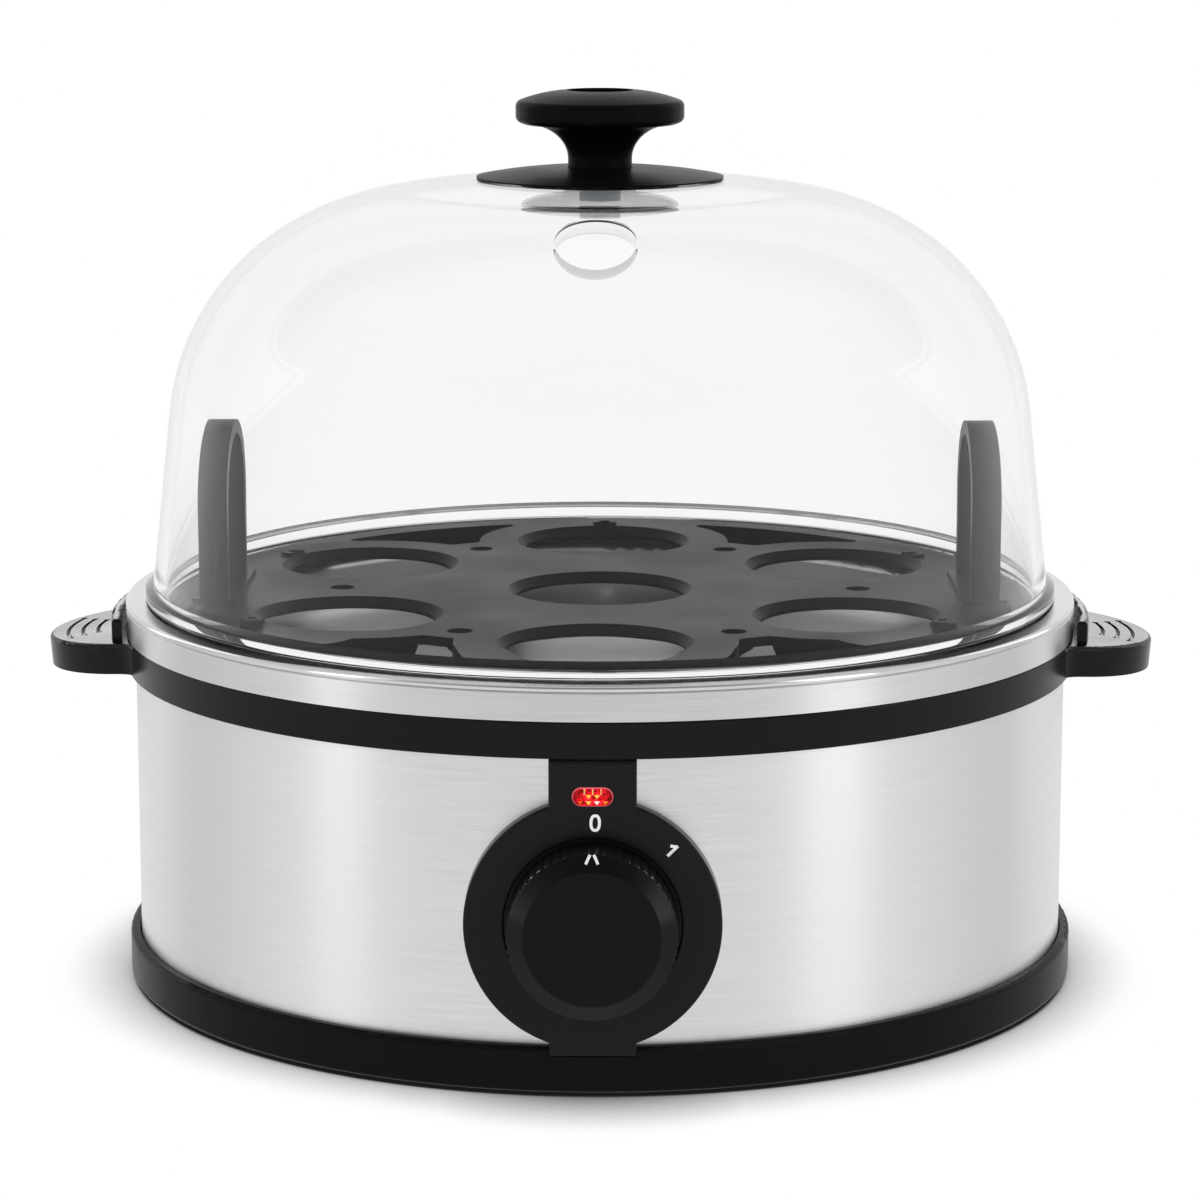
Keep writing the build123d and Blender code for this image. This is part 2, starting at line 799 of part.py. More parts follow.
# Control knob: knurled cap with a bevelled front, hollow behind, with a hub and ribs
def control_knob():
    ring = Circle(knob_radius)
    for x, y in around(knob_teeth, knob_radius):
        ring -= Pos(x, y) * Circle(knob_groove_radius)
    cap = extrude(ring, knob_length)
    front = turned(make_face(Polyline(
        (0, 0), (knob_radius, 0), (knob_radius, knob_length - knob_chamfer_length),
        (knob_radius - knob_chamfer_radial, knob_length), (0, knob_length), close=True)))
    cap = cap & front
    hollow = knob_length - knob_face_wall
    inside = knob_radius - knob_groove_radius - knob_wall
    cap -= tube(inside, knob_hub_radius, -overrun, hollow)
    for i in range(knob_rib_count):
        rib = block((knob_hub_radius - knob_rib_wall, -knob_rib_wall / 2, knob_wall),
                    (inside + knob_rib_wall / 2, knob_rib_wall / 2, hollow + knob_rib_wall))
        cap += Rot(0, 0, 45.0 + 360.0 * i / knob_rib_count) * rib
    bore = shaft_radius + slip_gap
    socket = upright(bore, -overrun, hollow)
    land = hollow - shaft_engage
    socket -= block((-bore, shaft_radius - shaft_flat + slip_gap, land), (bore, bore, hollow + overrun))
    cap -= socket
    return Pos(0, knob_back, z_panel) * Rot(90, 0, 0) * cap


pieces["control_knob"] = control_knob()


# Terminal block on two posts of the base, and the gland in the back of the band
def terminal_block():
    low = z_floor + block_post_height
    body = block((-block_width / 2, block_place - block_depth / 2, low),
                 (block_width / 2, block_place + block_depth / 2, low + block_height))
    for x in (-block_pole_spacing / 2, block_pole_spacing / 2):
        middle = low + block_height / 2
        body -= upright(block_hole_radius, middle, low + block_height + overrun, x, block_place)
    return body


pieces["terminal_block"] = terminal_block()


def cord_gland():
    level = z_base + gland_height
    outer_face = band_radius + panel_gap
    inner_face = band_inner - face_gap
    bush = lying(gland_neck_radius, inner_face - gland_length, outer_face, 0, level)
    bush += lying(gland_flange_radius, outer_face, outer_face + gland_flange_wall, 0, level)
    rim = bush.faces().sort_by(Axis.Y)[-1]
    bush = chamfer(rim.outer_wire().edges(), gland_flange_wall / 3)
    return bush - lying(gland_bore_radius, 0, base_radius + gland_flange_radius, 0, level)


pieces["cord_gland"] = cord_gland()


# Leads: round wires between the terminals, square to what they meet
block_front = block_place - block_depth / 2
lead_level = z_floor + block_post_height + block_height / 2
pole = block_pole_spacing / 2
tab = tab_spacing / 2
blade = blade_spacing / 2
fuse_left, fuse_right = fuse_pin_places()
pin_right, pin_left = pin_places
y_turn = y_tab_end + 2 * tab_length
y_pin = pin_left[1]
pieces["lead_live"] = wire(
    lead_radius, (pole, block_front, lead_level), (pole, y_turn / 2, lead_level),
    (-tab, y_turn, z_panel), (-tab, y_tab_end, z_panel))
pieces["lead_switched"] = wire(
    lead_radius, (tab, y_tab_end, z_panel), (tab, y_turn, z_panel),
    (*fuse_right, lead_bend_level), (*fuse_right, z_blade))
pieces["lead_fuse"] = wire(
    lead_radius, (*fuse_left, z_blade), (*fuse_left, lead_bend_level),
    (-blade, 0, lead_bend_level), (-blade, 0, z_blade))
pieces["lead_heater"] = wire(
    lead_radius, (blade, 0, z_blade), (blade, 0, lead_bend_level),
    (*pin_right, lead_bend_level), (*pin_right, z_pin))
pieces["lead_neutral"] = wire(
    lead_radius, (-pole, block_front, lead_level), (-pole, (block_front + y_pin) / 2, lead_level),
    (*pin_left, lead_level), (*pin_left, z_pin))
lamp_lead_top = z_lens - holder_radius
pieces["lamp_leads"] = Compound(
    [upright(lead_radius / 2, z_panel + switch_height / 2, lamp_lead_top,
             x, y_switch + holder_flange_wall + lead_radius) for x in (-lead_radius, lead_radius)])


# Egg tray: plate with a turned-down rim, seven egg seats, steam slots and two loop handles
def egg_places():
    return [(0.0, 0.0)] + around(egg_count, egg_ring_radius, -90.0)


def steam_slot():
    wedge = Circle(slot_outer_radius) - Circle(slot_inner_radius)
    half = slot_outer_radius
    wedge &= Pos(half, 0) * Rectangle(2 * half, egg_ring_radius)
    for turn in (-1, 1):
        x, y = polar(egg_ring_radius, turn * 180.0 / egg_count)
        wedge -= Pos(x, y) * Circle(land_radius)
    wedge = wedge.faces().sort_by(Axis.X)[-1]
    return fillet(wedge.vertices(), slot_corner_radius)


def tray_plate():
    plate = turned(make_face(FilletPolyline(
        (0, z_tray - tray_wall), (tray_inner, z_tray - tray_wall), (tray_inner, z_tray_seat),
        (tray_radius, z_tray_seat), (tray_radius, z_tray), (0, z_tray),
        radius=(0, 0, 0, 0, tray_edge_radius, 0), close=True)))
    for x, y in around(egg_count, drain_circle_radius, -90.0):
        plate += upright(drain_boss_radius, z_tray - tray_wall, z_tray + drain_boss_height, x, y)
        plate -= upright(drain_hole_radius, z_tray_seat, z_tray + tray_wall, x, y)
    for x, y in around(egg_count, drip_circle_radius, -90.0 + 180.0 / egg_count):
        plate -= upright(drip_hole_radius, z_tray_seat, z_tray + tray_wall, x, y)
    for x, y in egg_places():
        seat = upright(egg_hole_radius, z_tray_seat, z_tray + tray_wall)
        seat += Pos(0, 0, z_tray - egg_seat_bevel) * Cone(
            egg_hole_radius, egg_hole_radius + 2 * egg_seat_bevel, 2 * egg_seat_bevel, align=BOTTOM)
        plate -= Pos(x, y) * seat
    slot = Pos(0, 0, z_tray_seat) * extrude(steam_slot(), tray_rise + tray_wall)
    for turn in slot_turns:
        plate -= Rot(0, 0, turn) * slot
    return plate


def handle_loop():
    crown = handle_height - handle_half_width
    outer = Pos(0, crown) * Circle(handle_half_width)
    outer += Pos(0, crown / 2 - tray_wall / 2) * Rectangle(2 * handle_half_width, crown + tray_wall)
    inner_half = handle_half_width - handle_wall
    hole = Pos(0, crown) * Circle(inner_half)
    hole += Pos(0, crown / 2 - tray_wall) * Rectangle(2 * inner_half, crown + 2 * tray_wall)
    loop = extrude(Plane.YZ * (outer - hole), handle_depth / 2, both=True)
    pad = block((-handle_depth / 2 - handle_pad_margin, -handle_half_width - gusset_depth, -tray_wall),
                (handle_depth / 2 + handle_pad_margin, handle_half_width + gusset_depth, handle_pad_height))
    loop += fillet(pad.edges().filter_by(Axis.Z), handle_pad_margin)
    for side in (-1, 1):
        leg = side * handle_half_width
        gusset = Plane.YZ * make_face(Polyline(
            (leg - side * handle_wall / 2, 0), (leg + side * gusset_depth, 0),
            (leg, gusset_height), (leg - side * handle_wall / 2, gusset_height), close=True))
        loop += extrude(gusset, gusset_wall / 2, both=True)
    return loop


def egg_tray():
    tray = tray_plate()
    for side in (-1, 1):
        tray += Pos(side * handle_place, 0, z_tray) * handle_loop()
    return tray


pieces["egg_tray"] = egg_tray()

# Lid dome: drafted wall, haunch and shoulder arcs, and a crown that closes on the axis
draft = math.radians(dome_draft)
haunch_end = draft + math.radians(haunch_sweep)
shoulder_end = haunch_end + math.radians(shoulder_sweep)
wall_top = (dome_foot_radius - dome_wall_height * math.tan(draft), z_lid + dome_wall_height)
haunch_centre = (wall_top[0] - haunch_radius * math.cos(draft),
                 wall_top[1] - haunch_radius * math.sin(draft))
arc_step = haunch_radius - shoulder_radius
shoulder_centre = (haunch_centre[0] + arc_step * math.cos(haunch_end),
                   haunch_centre[1] + arc_step * math.sin(haunch_end))
crown_radius = shoulder_radius + shoulder_centre[0] / math.cos(shoulder_end)
crown_level = shoulder_centre[1] + (shoulder_radius - crown_radius) * math.sin(shoulder_end)
z_apex = crown_level + crown_radius


def crown_height(radius, inset=0.0):
    """Level of the crown at a radius, on the outside or inset into the wall."""
    return crown_level + math.sqrt((crown_radius - inset) ** 2 - radius ** 2)


def dome_run(inset):
    """Edges of the dome's section from the foot to the axis, moved into the wall by inset."""
    foot = (dome_foot_radius - inset / math.cos(draft), z_lid)
    arcs = ((haunch_centre, haunch_radius, draft, haunch_end),
            (shoulder_centre, shoulder_radius, haunch_end, shoulder_end),
            ((0.0, crown_level), crown_radius, shoulder_end, math.pi / 2))
    edges = []
    here = foot
    for centre, radius, start, end in arcs:
        r = radius - inset
        marks = [(centre[0] + r * math.cos(a), centre[1] + r * math.sin(a))
                 for a in (start, (start + end) / 2, end)]
        if here is foot:
            edges.append(Line(foot, marks[0]))
        edges.append(ThreePointArc(*marks))
        here = marks[2]
    return foot, here, edges


def lid_dome():
    foot, top, outer = dome_run(0.0)
    inner_foot, inner_top, inner = dome_run(dome_wall)
    section = make_face(outer + inner + [Line(foot, inner_foot), Line(top, inner_top)])
    dome = turned(section)
    lip = dome_foot_radius + foot_lip
    low = (dome_foot_radius - dome_wall / 2, z_lid)
    high_level = z_lid + foot_lip_height + foot_flare_height
    high = (dome_foot_radius - (high_level - z_lid) * math.tan(draft), high_level)
    back = (low[0] - (high_level - z_lid) * math.tan(draft), high_level)
    dome += turned(make_face(FilletPolyline(
        low, (lip, z_lid), (lip, z_lid + foot_lip_height), high, back,
        radius=(0, 0, foot_edge_radius, 0, 0), close=True)))
    dome -= upright(vent_radius, z_lid, z_apex + overrun, 0, -vent_place)
    return dome - upright(spigot_radius + spigot_hole_gap, z_lid, z_apex + overrun)


pieces["lid_dome"] = lid_dome()

# Lid knob: thin flange on the crown, waisted neck and a dished cap, screwed from inside
z_washer = crown_height(washer_radius, dome_wall) - knob_seat_gap
z_flange_edge = crown_height(flange_radius) + knob_seat_gap
z_neck = z_apex + flange_crown
z_flare = z_neck + neck_height
z_cap = z_flare + flare_height
z_cap_side = z_cap + cap_under_height
z_cap_top = z_cap_side + cap_side_height


def lid_knob():
    seat_middle = (flange_radius + spigot_radius) / 2
    z_edge = z_flange_edge + flange_edge
    slope_middle = ((flange_radius + neck_radius) / 2, (z_edge + z_neck) / 2 + flange_bulge)
    rim = z_cap_top + cap_crown_height
    floor = rim - recess_depth
    outline = [
        Line((0, z_washer), (spigot_radius, z_washer)),
        Line((spigot_radius, z_washer), (spigot_radius, crown_height(spigot_radius) + knob_seat_gap)),
        ThreePointArc((spigot_radius, crown_height(spigot_radius) + knob_seat_gap),
                      (seat_middle, crown_height(seat_middle) + knob_seat_gap),
                      (flange_radius, z_flange_edge)),
        Line((flange_radius, z_flange_edge), (flange_radius, z_edge)),
        ThreePointArc((flange_radius, z_edge), slope_middle, (neck_radius, z_neck)),
        Line((neck_radius, z_neck), (neck_radius, z_flare)),
        EllipticalCenterArc((cap_under_radius, z_flare), cap_under_radius - neck_radius, flare_height,
                            start_angle=90, arc_size=90),
        Line((cap_under_radius, z_cap), (cap_radius, z_cap_side)),
        Line((cap_radius, z_cap_side), (cap_radius, z_cap_top)),
        ThreePointArc((cap_radius, z_cap_top),
                      ((cap_radius + recess_radius) / 2, z_cap_top + cap_crown_height * cap_crown_share),
                      (recess_radius, rim)),
        Line((recess_radius, rim), (recess_radius, floor)),
        Line((recess_radius, floor), (0, floor)),
        Line((0, floor), (0, z_washer))]
    knob = turned(make_face(outline))
    sides = [e for e in knob.edges().filter_by(GeomType.CIRCLE) if abs(e.radius - cap_radius) < slip_gap]
    knob = fillet(sides, cap_edge_radius)
    bore_top = z_washer + lid_screw_bite + overrun
    return knob - upright(lid_screw_radius + slip_gap, z_washer - overrun, bore_top)


pieces["lid_knob"] = lid_knob()
washer_bore = lid_screw_radius + face_gap
pieces["lid_knob_washer"] = tube(washer_radius, washer_bore, z_washer - washer_wall, z_washer)
screw_seat = z_washer - washer_wall
pieces["lid_knob_screw"] = (
    upright(lid_screw_head_radius, screw_seat - lid_screw_head_height, screw_seat)
    + upright(lid_screw_radius, screw_seat, z_washer + lid_screw_bite))

os.makedirs("parts", exist_ok=True)
for node, piece in pieces.items():
    export_step(piece, f"parts/{node}.step")
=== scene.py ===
import math

import bmesh
import bpy
import numpy as np
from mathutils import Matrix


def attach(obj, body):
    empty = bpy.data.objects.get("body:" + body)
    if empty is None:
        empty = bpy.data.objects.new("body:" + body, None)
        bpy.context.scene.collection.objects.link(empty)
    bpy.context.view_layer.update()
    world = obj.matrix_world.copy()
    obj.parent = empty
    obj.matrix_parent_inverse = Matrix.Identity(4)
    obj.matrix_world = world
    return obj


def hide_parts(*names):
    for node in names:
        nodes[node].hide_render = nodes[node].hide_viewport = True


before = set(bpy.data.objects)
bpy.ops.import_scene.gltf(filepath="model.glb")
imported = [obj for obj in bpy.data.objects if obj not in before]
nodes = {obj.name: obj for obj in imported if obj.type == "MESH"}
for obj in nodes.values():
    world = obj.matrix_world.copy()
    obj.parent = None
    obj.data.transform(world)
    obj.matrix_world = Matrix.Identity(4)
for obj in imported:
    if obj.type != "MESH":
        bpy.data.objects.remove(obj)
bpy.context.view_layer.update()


# Base housing, feet and screws
# The base is one black ABS moulding that stands on four rubber plugs. Screws go
# up through its bosses into the upper ring and hold the whole body together.
MM = 0.001


def linear(code):
    """Linear colour of an sRGB hex code, with the standard two-part curve."""
    c = np.array([int(code[i:i + 2], 16) for i in (1, 3, 5)]) / 255
    c = np.where(c <= 0.04045, c / 12.92, ((c + 0.055) / 1.055) ** 2.4)
    return (*c.tolist(), 1.0)


def add(tree, kind, settings=None, **inputs):
    """One node: settings are its properties, inputs are values or sockets by input name."""
    node = tree.nodes.new("ShaderNode" + kind)
    for key, value in (settings or {}).items():
        setattr(node, key, value)
    for key, value in inputs.items():
        name = key.replace("_", " ")
        socket = node.inputs[int(key[1:])] if key[1:].isdigit() else node.inputs[name]
        if isinstance(value, bpy.types.NodeSocket):
            tree.links.new(value, socket)
        else:
            socket.default_value = value
    return node


def material(name):
    """Empty node material with its output, ready for a shader."""
    made = bpy.data.materials.new(name)
    made.use_nodes = True
    made.node_tree.nodes.clear()
    return made, made.node_tree, made.node_tree.nodes.new("ShaderNodeOutputMaterial")


def moulded(name, colour, worn, rough, shine, grain_mm, depth_mm):
    """Moulded plastic or rubber: a fine spark-eroded grain that dulls the gloss in places."""
    made, tree, out = material(name)
    place = add(tree, "TexCoord").outputs["Object"]
    grain = add(tree, "TexNoise", Vector=place, Scale=1 / (grain_mm * MM), Detail=2.0)
    cloud = add(tree, "TexNoise", Vector=place, Scale=1 / (60 * grain_mm * MM), Detail=3.0)
    tint = add(tree, "MixRGB", i0=cloud.outputs["Fac"], i1=linear(colour), i2=linear(worn))
    dull = add(tree, "MapRange", i0=cloud.outputs["Fac"], i1=0.3, i2=0.7, i3=rough - 0.05, i4=rough + 0.05)
    bump = add(tree, "Bump", Height=grain.outputs["Fac"], Strength=0.35, Distance=depth_mm * MM)
    surface = add(tree, "BsdfPrincipled", Base_Color=tint.outputs[0], Roughness=dull.outputs[0],
                  Specular_IOR_Level=shine, Normal=bump.outputs[0])
    tree.links.new(surface.outputs[0], out.inputs[0])
    return made


def plated(name, colour, rough):
    """Plated or bare metal stamping: faint blotches in the gloss from the bath or the press."""
    made, tree, out = material(name)
    place = add(tree, "TexCoord").outputs["Object"]
    blotch = add(tree, "TexNoise", Vector=place, Scale=1 / (4 * MM), Detail=4.0)
    dull = add(tree, "MapRange", i0=blotch.outputs["Fac"], i1=0.3, i2=0.7, i3=rough - 0.06, i4=rough + 0.06)
    surface = add(tree, "BsdfPrincipled", Base_Color=linear(colour), Metallic=1.0, Roughness=dull.outputs[0])
    tree.links.new(surface.outputs[0], out.inputs[0])
    return made


def dress(finish, *names):
    """Gives CAD nodes a finish in place of their packed one."""
    for name in names:
        nodes[name].data.materials.clear()
        nodes[name].data.materials.append(finish)


# Rubber hardly shines, zinc plating has a cool half gloss, and the base's ABS a dull dark sheen.
foot_rubber = moulded("foot_rubber", "#191919", "#222222", 0.75, 0.3, 0.2, 0.02)
zinc_steel = plated("zinc_plated_steel", "#b8bcc2", 0.34)
base_abs = moulded("base_black_abs", "#121212", "#161616", 0.34, 0.05, 0.25, 0.006)
dress(base_abs, "base_housing")
dress(foot_rubber, "rubber_feet", "cord_gland")
dress(zinc_steel, "housing_screws")


# Body band
# A strip of stainless sheet rolled into a cylinder and brushed along its length, so
# fine scratches run round it. They stretch every reflection upwards into soft bands.
def brushed(name, colour, streak, rough, along_mm, across_mm, spread, bright_above=1000.0):
    """Steel brushed round the axis: noise drawn out along the scratch tints and dulls it. Above a level
    in mm it is polished instead."""
    made, tree, out = material(name)
    place = add(tree, "TexCoord").outputs["Object"]
    drawn = add(tree, "Mapping", Vector=place,
                Scale=(1 / (along_mm * MM), 1 / (along_mm * MM), 1 / (across_mm * MM)))
    scratch = add(tree, "TexNoise", Vector=drawn.outputs[0], Scale=1.0, Detail=3.0, Roughness=0.6)
    tint = add(tree, "MixRGB", i0=scratch.outputs["Fac"], i1=linear(streak), i2=linear(colour))
    dull = add(tree, "MapRange", i0=scratch.outputs["Fac"], i1=0.3, i2=0.7, i3=rough + 0.05, i4=rough - 0.05)
    level = add(tree, "SeparateXYZ", i0=place)
    polish = add(tree, "MapRange", i0=level.outputs["Z"], i1=(bright_above - 0.05) * MM,
                 i2=(bright_above + 0.05) * MM, i3=1.0, i4=0.5)
    gloss = add(tree, "Math", {"operation": "MULTIPLY"}, i0=dull.outputs[0], i1=polish.outputs[0])
    turn = add(tree, "Tangent", {"direction_type": "RADIAL", "axis": "Z"})
    surface = add(tree, "BsdfPrincipled", Base_Color=tint.outputs[0], Metallic=1.0,
                  Roughness=gloss.outputs[0], Anisotropic=spread,
                  Anisotropic_Rotation=0.25, Tangent=turn.outputs[0])
    tree.links.new(surface.outputs[0], out.inputs[0])
    return made


band_steel = brushed("brushed_stainless_steel", "#dfdfe0", "#d5d5d6", 0.34, 14.0, 0.3, 0.75)
dress(band_steel, "body_band")


# Upper ring with its ears
# A second black ABS moulding. It caps the band, carries the pan on its flange and
# ends in two ears with grip grooves, by which the hot body is carried.
# Satin ABS is deep black with a soft sheen along its edges.
black_abs = moulded("satin_black_abs", "#0a0a0a", "#0e0e0e", 0.26, 0.15, 0.25, 0.006)
dress(black_abs, "upper_ring")


# Heater and wiring
# Under the pan sit the aluminium spreader with its tube element, a heat shield, a
# thermostat, a fuse, the switch and silicone-sleeved leads. None of it shows outside.
# Castings are pale and matt, the annealed sheath dark, brass warm, and sleeves off-white.
cast_aluminium = plated("cast_aluminium", "#c9cacb", 0.5)
annealed_sheath = plated("annealed_steel_sheath", "#6a6660", 0.45)
terminal_brass = plated("terminal_brass", "#c9a85c", 0.3)
phenolic = moulded("black_phenolic", "#1b1a1a", "#242222", 0.4, 0.5, 0.3, 0.01)
nylon = moulded("white_nylon", "#e4e3dd", "#dad9d2", 0.45, 0.5, 0.3, 0.01)
sleeve = moulded("silicone_sleeve", "#d8d4ca", "#cfcabd", 0.55, 0.4, 0.3, 0.02)
seal_silicone = moulded("seal_silicone", "#b9b8b2", "#aeada6", 0.5, 0.4, 0.3, 0.01)
dress(cast_aluminium, "heat_spreader")
dress(annealed_sheath, "heating_element")
dress(zinc_steel, "pan_studs", "pan_nuts", "shield_posts", "shield_nuts", "heat_shield",
      "thermostat_clamp", "thermal_fuse", "fuse_clip", "switch_bracket", "bracket_screws", "switch_shaft")
dress(terminal_brass, "switch_terminals")
dress(phenolic, "thermostat", "lamp_holder", "switch_body")
dress(nylon, "terminal_block")
dress(sleeve, "lead_live", "lead_switched", "lead_fuse", "lead_heater", "lead_neutral", "lamp_leads")
dress(seal_silicone, "pan_seal")


# Boiler pan
# One sheet of stainless steel drawn into a shallow dish. Its rim is folded over the
# upper ring: the skirt is brushed, and the bead and flat above its line are polished.
pan_steel = brushed("drawn_stainless_steel", "#d6d6d7", "#cacacb", 0.34, 20.0, 0.4, 0.8, bright_above=66.6)
dress(pan_steel, "boiler_pan")


# Control panel
# A black ABS fascia shaped like a keyhole, clipped on the front of the band. Its
# front edge is rounded, and a shallow round well takes the back of the knob.
Z_PANEL = 28.7
Y_PANEL = -84.6
PANEL_RADIUS = 20.8
NECK_HALF = 7.05
NECK_TOP = 27.0
NECK_FOOT = -21.8
PANEL_BACK_RADIUS = 82.6
PANEL_EDGE = 0.5
WELL_RADIUS = 14.3
WELL_DEPTH = 0.8
WELL_EDGE = 0.25
END_STEPS = 24
SIDE_STEPS = 14
FOOT_STEPS = 4
BEND_STEPS = 72
SHAFT_HOLE_RADIUS = 3.6


def quads(rows, columns, wrap_rows=False, wrap_columns=True):
    """Corner numbers of the faces of a grid of rows and columns of points."""
    steps = np.arange(rows - (not wrap_rows)), np.arange(columns - (not wrap_columns))
    i, j = np.meshgrid(*steps, indexing="ij")
    k, m = (i + 1) % rows, (j + 1) % columns
    return np.stack([i * columns + j, i * columns + m, k * columns + m, k * columns + j], -1).reshape(-1, 4)


def piece(name, points, faces, finish, body, slot, *replaced, sharp=32.0):
    """Mesh of points in mm and faces, welded, facing outwards and smooth up to a sharp angle."""
    mesh = bpy.data.meshes.new(name)
    mesh.from_pydata((points.reshape(-1, 3) * MM).tolist(), [], faces.tolist())
    work = bmesh.new()
    work.from_mesh(mesh)
    bmesh.ops.remove_doubles(work, verts=work.verts, dist=1e-6)
    bmesh.ops.dissolve_degenerate(work, edges=work.edges, dist=1e-7)
    bmesh.ops.recalc_face_normals(work, faces=work.faces)
    work.to_mesh(mesh)
    work.free()
    mesh.shade_smooth()
    mesh.set_sharp_from_angle(angle=math.radians(sharp))
    mesh.materials.append(finish)
    made = bpy.data.objects.new(name, mesh)
    bpy.context.scene.collection.objects.link(made)
    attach(made, body)
    if replaced:
        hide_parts(*replaced)
    return made


def overlay(made, finish, chosen):
    """Gives a second finish to the faces whose middles, in mm, are chosen."""
    polygons = made.data.polygons
    middles = np.empty(3 * len(polygons))
    polygons.foreach_get("center", middles)
    made.data.materials.append(finish)
    polygons.foreach_set("material_index", chosen(*(middles.reshape(-1, 3) / MM).T).astype(int))


def keyhole(inset):
    """Outline of the fascia seen from the front, from the top left corner clockwise, moved in by inset:
    straight runs along the neck and arcs of the round plate between the places where they meet."""
    half, radius = NECK_HALF - inset, PANEL_RADIUS - inset
    reach = math.sqrt(radius ** 2 - half ** 2)
    top, foot = NECK_TOP - inset, NECK_FOOT + inset
    root = math.atan2(half, reach)
    bend = np.linspace(root, math.pi - root, BEND_STEPS)
    right = np.concatenate([
        np.column_stack([np.linspace(-half, half, END_STEPS), np.full(END_STEPS, top)])[:-1],
        np.column_stack([np.full(SIDE_STEPS, half), np.linspace(top, reach, SIDE_STEPS)])[:-1],
        np.column_stack([radius * np.sin(bend), radius * np.cos(bend)])[:-1],
        np.column_stack([np.full(FOOT_STEPS, half), np.linspace(-reach, foot, FOOT_STEPS)])[:-1]])
    left = np.concatenate([
        np.column_stack([np.linspace(half, -half, END_STEPS), np.full(END_STEPS, foot)])[:-1],
        np.column_stack([np.full(FOOT_STEPS, -half), np.linspace(foot, -reach, FOOT_STEPS)])[:-1],
        np.column_stack([-radius * np.sin(bend), radius * np.cos(bend)])[::-1][:-1],
        np.column_stack([np.full(SIDE_STEPS, -half), np.linspace(reach, top, SIDE_STEPS)])[:-1]])
    return np.concatenate([right, left])


def facing(outline, depth):
    """Points at a depth from an outline of sideways and upward places about the dial's centre."""
    y = np.broadcast_to(depth, outline.shape[:1])
    return np.column_stack([outline[:, 0], y, outline[:, 1] + Z_PANEL])


def panel_rows():
    """Rings from the band over the side, the rounded front edge, the face, the well and its floor, and
    back behind the plate: each ring is the keyhole or a circle that shares its directions."""
    outer = keyhole(0.0)
    way = keyhole(PANEL_EDGE)
    unit = way / np.linalg.norm(way, axis=1, keepdims=True)
    seat = -np.sqrt(PANEL_BACK_RADIUS ** 2 - outer[:, 0] ** 2)
    rows = [facing(outer, seat), facing(outer, Y_PANEL + 2 * PANEL_EDGE)]
    for turn in np.linspace(0, math.pi / 2, 7):
        shift = PANEL_EDGE * (1 - math.cos(turn))
        rows.append(facing(keyhole(shift), Y_PANEL + PANEL_EDGE * (1 - math.sin(turn))))
    lip = unit * (WELL_RADIUS + WELL_EDGE)
    for share in (0.03, 0.35, 0.7, 0.97):
        rows.append(facing(way + (lip - way) * share, Y_PANEL))
    for turn in np.linspace(0, math.pi / 2, 5):
        radius = WELL_RADIUS + WELL_EDGE * (1 - math.sin(turn))
        rows.append(facing(unit * radius, Y_PANEL + WELL_EDGE * (1 - math.cos(turn))))
    floor = Y_PANEL + WELL_DEPTH
    for radius in (WELL_RADIUS, WELL_RADIUS - WELL_EDGE, SHAFT_HOLE_RADIUS + WELL_EDGE, SHAFT_HOLE_RADIUS):
        rows.append(facing(unit * radius, floor))
    hole = unit * SHAFT_HOLE_RADIUS
    rows.append(facing(hole, -np.sqrt(PANEL_BACK_RADIUS ** 2 - hole[:, 0] ** 2)))
    return np.array(rows)


rows = panel_rows()
# Fine-grained ABS is black with a faint, even sheen.
panel_abs = moulded("panel_black_abs", "#101010", "#141414", 0.28, 0.15, 0.2, 0.006)
fascia = piece("panel_fascia", rows, quads(*rows.shape[:2], wrap_rows=True), panel_abs, "housing",
               "black_plastic", "control_panel")


# Dial figures
# A nought at the top and a one an eighth of a turn on, pad printed in white ink on
# the fascia. Each is a thin film with the ink's own thickness.
INK = 0.04
NOUGHT_RADIUS = 16.95
ONE_RADIUS = 17.8
ONE_HEIGHT = 2.35
NOUGHT_TURN = math.radians(1.4)
ONE_TURN = math.radians(45.2)
ONE_STEM = 0.2
FIGURE_WIDTH = 1.8
FIGURE_HEIGHT = 2.85
STROKE = 0.46

# Pad-print ink is opaque and matt; a painted glow, emitted at a low strength, keeps it white in shade.
print_white, tree, out = material("white_pad_print")
place = add(tree, "TexCoord").outputs["Object"]
speck = add(tree, "TexNoise", Vector=place, Scale=1 / (0.3 * MM), Detail=2.0)
tone = add(tree, "MixRGB", i0=speck.outputs["Fac"], i1=linear("#e6e6e4"), i2=linear("#f6f6f4"))
ink = add(tree, "BsdfPrincipled", Base_Color=tone.outputs[0], Roughness=0.55,
          Emission_Color=linear("#ffffff"), Emission_Strength=0.3)
tree.links.new(ink.outputs[0], out.inputs[0])


def film(loop_outer, loop_inner, place):
    """Closed film between two loops: place(across, up, height) lifts figure points onto their surface."""
    rings = [(loop_outer, 0.0), (loop_outer, INK), (loop_inner, INK), (loop_inner, 0.0)]
    return np.array([place(loop[:, 0], loop[:, 1], rise) for loop, rise in rings])


def on_fascia(turn, radius):
    """Puts a figure on the fascia at a radius, turned clockwise about the dial's centre."""
    c, s = math.cos(turn), math.sin(turn)

    def place(across, up, rise):
        far = up + radius
        return np.column_stack([across * c + far * s, np.full_like(across, Y_PANEL - rise),
                                far * c - across * s + Z_PANEL])
    return place


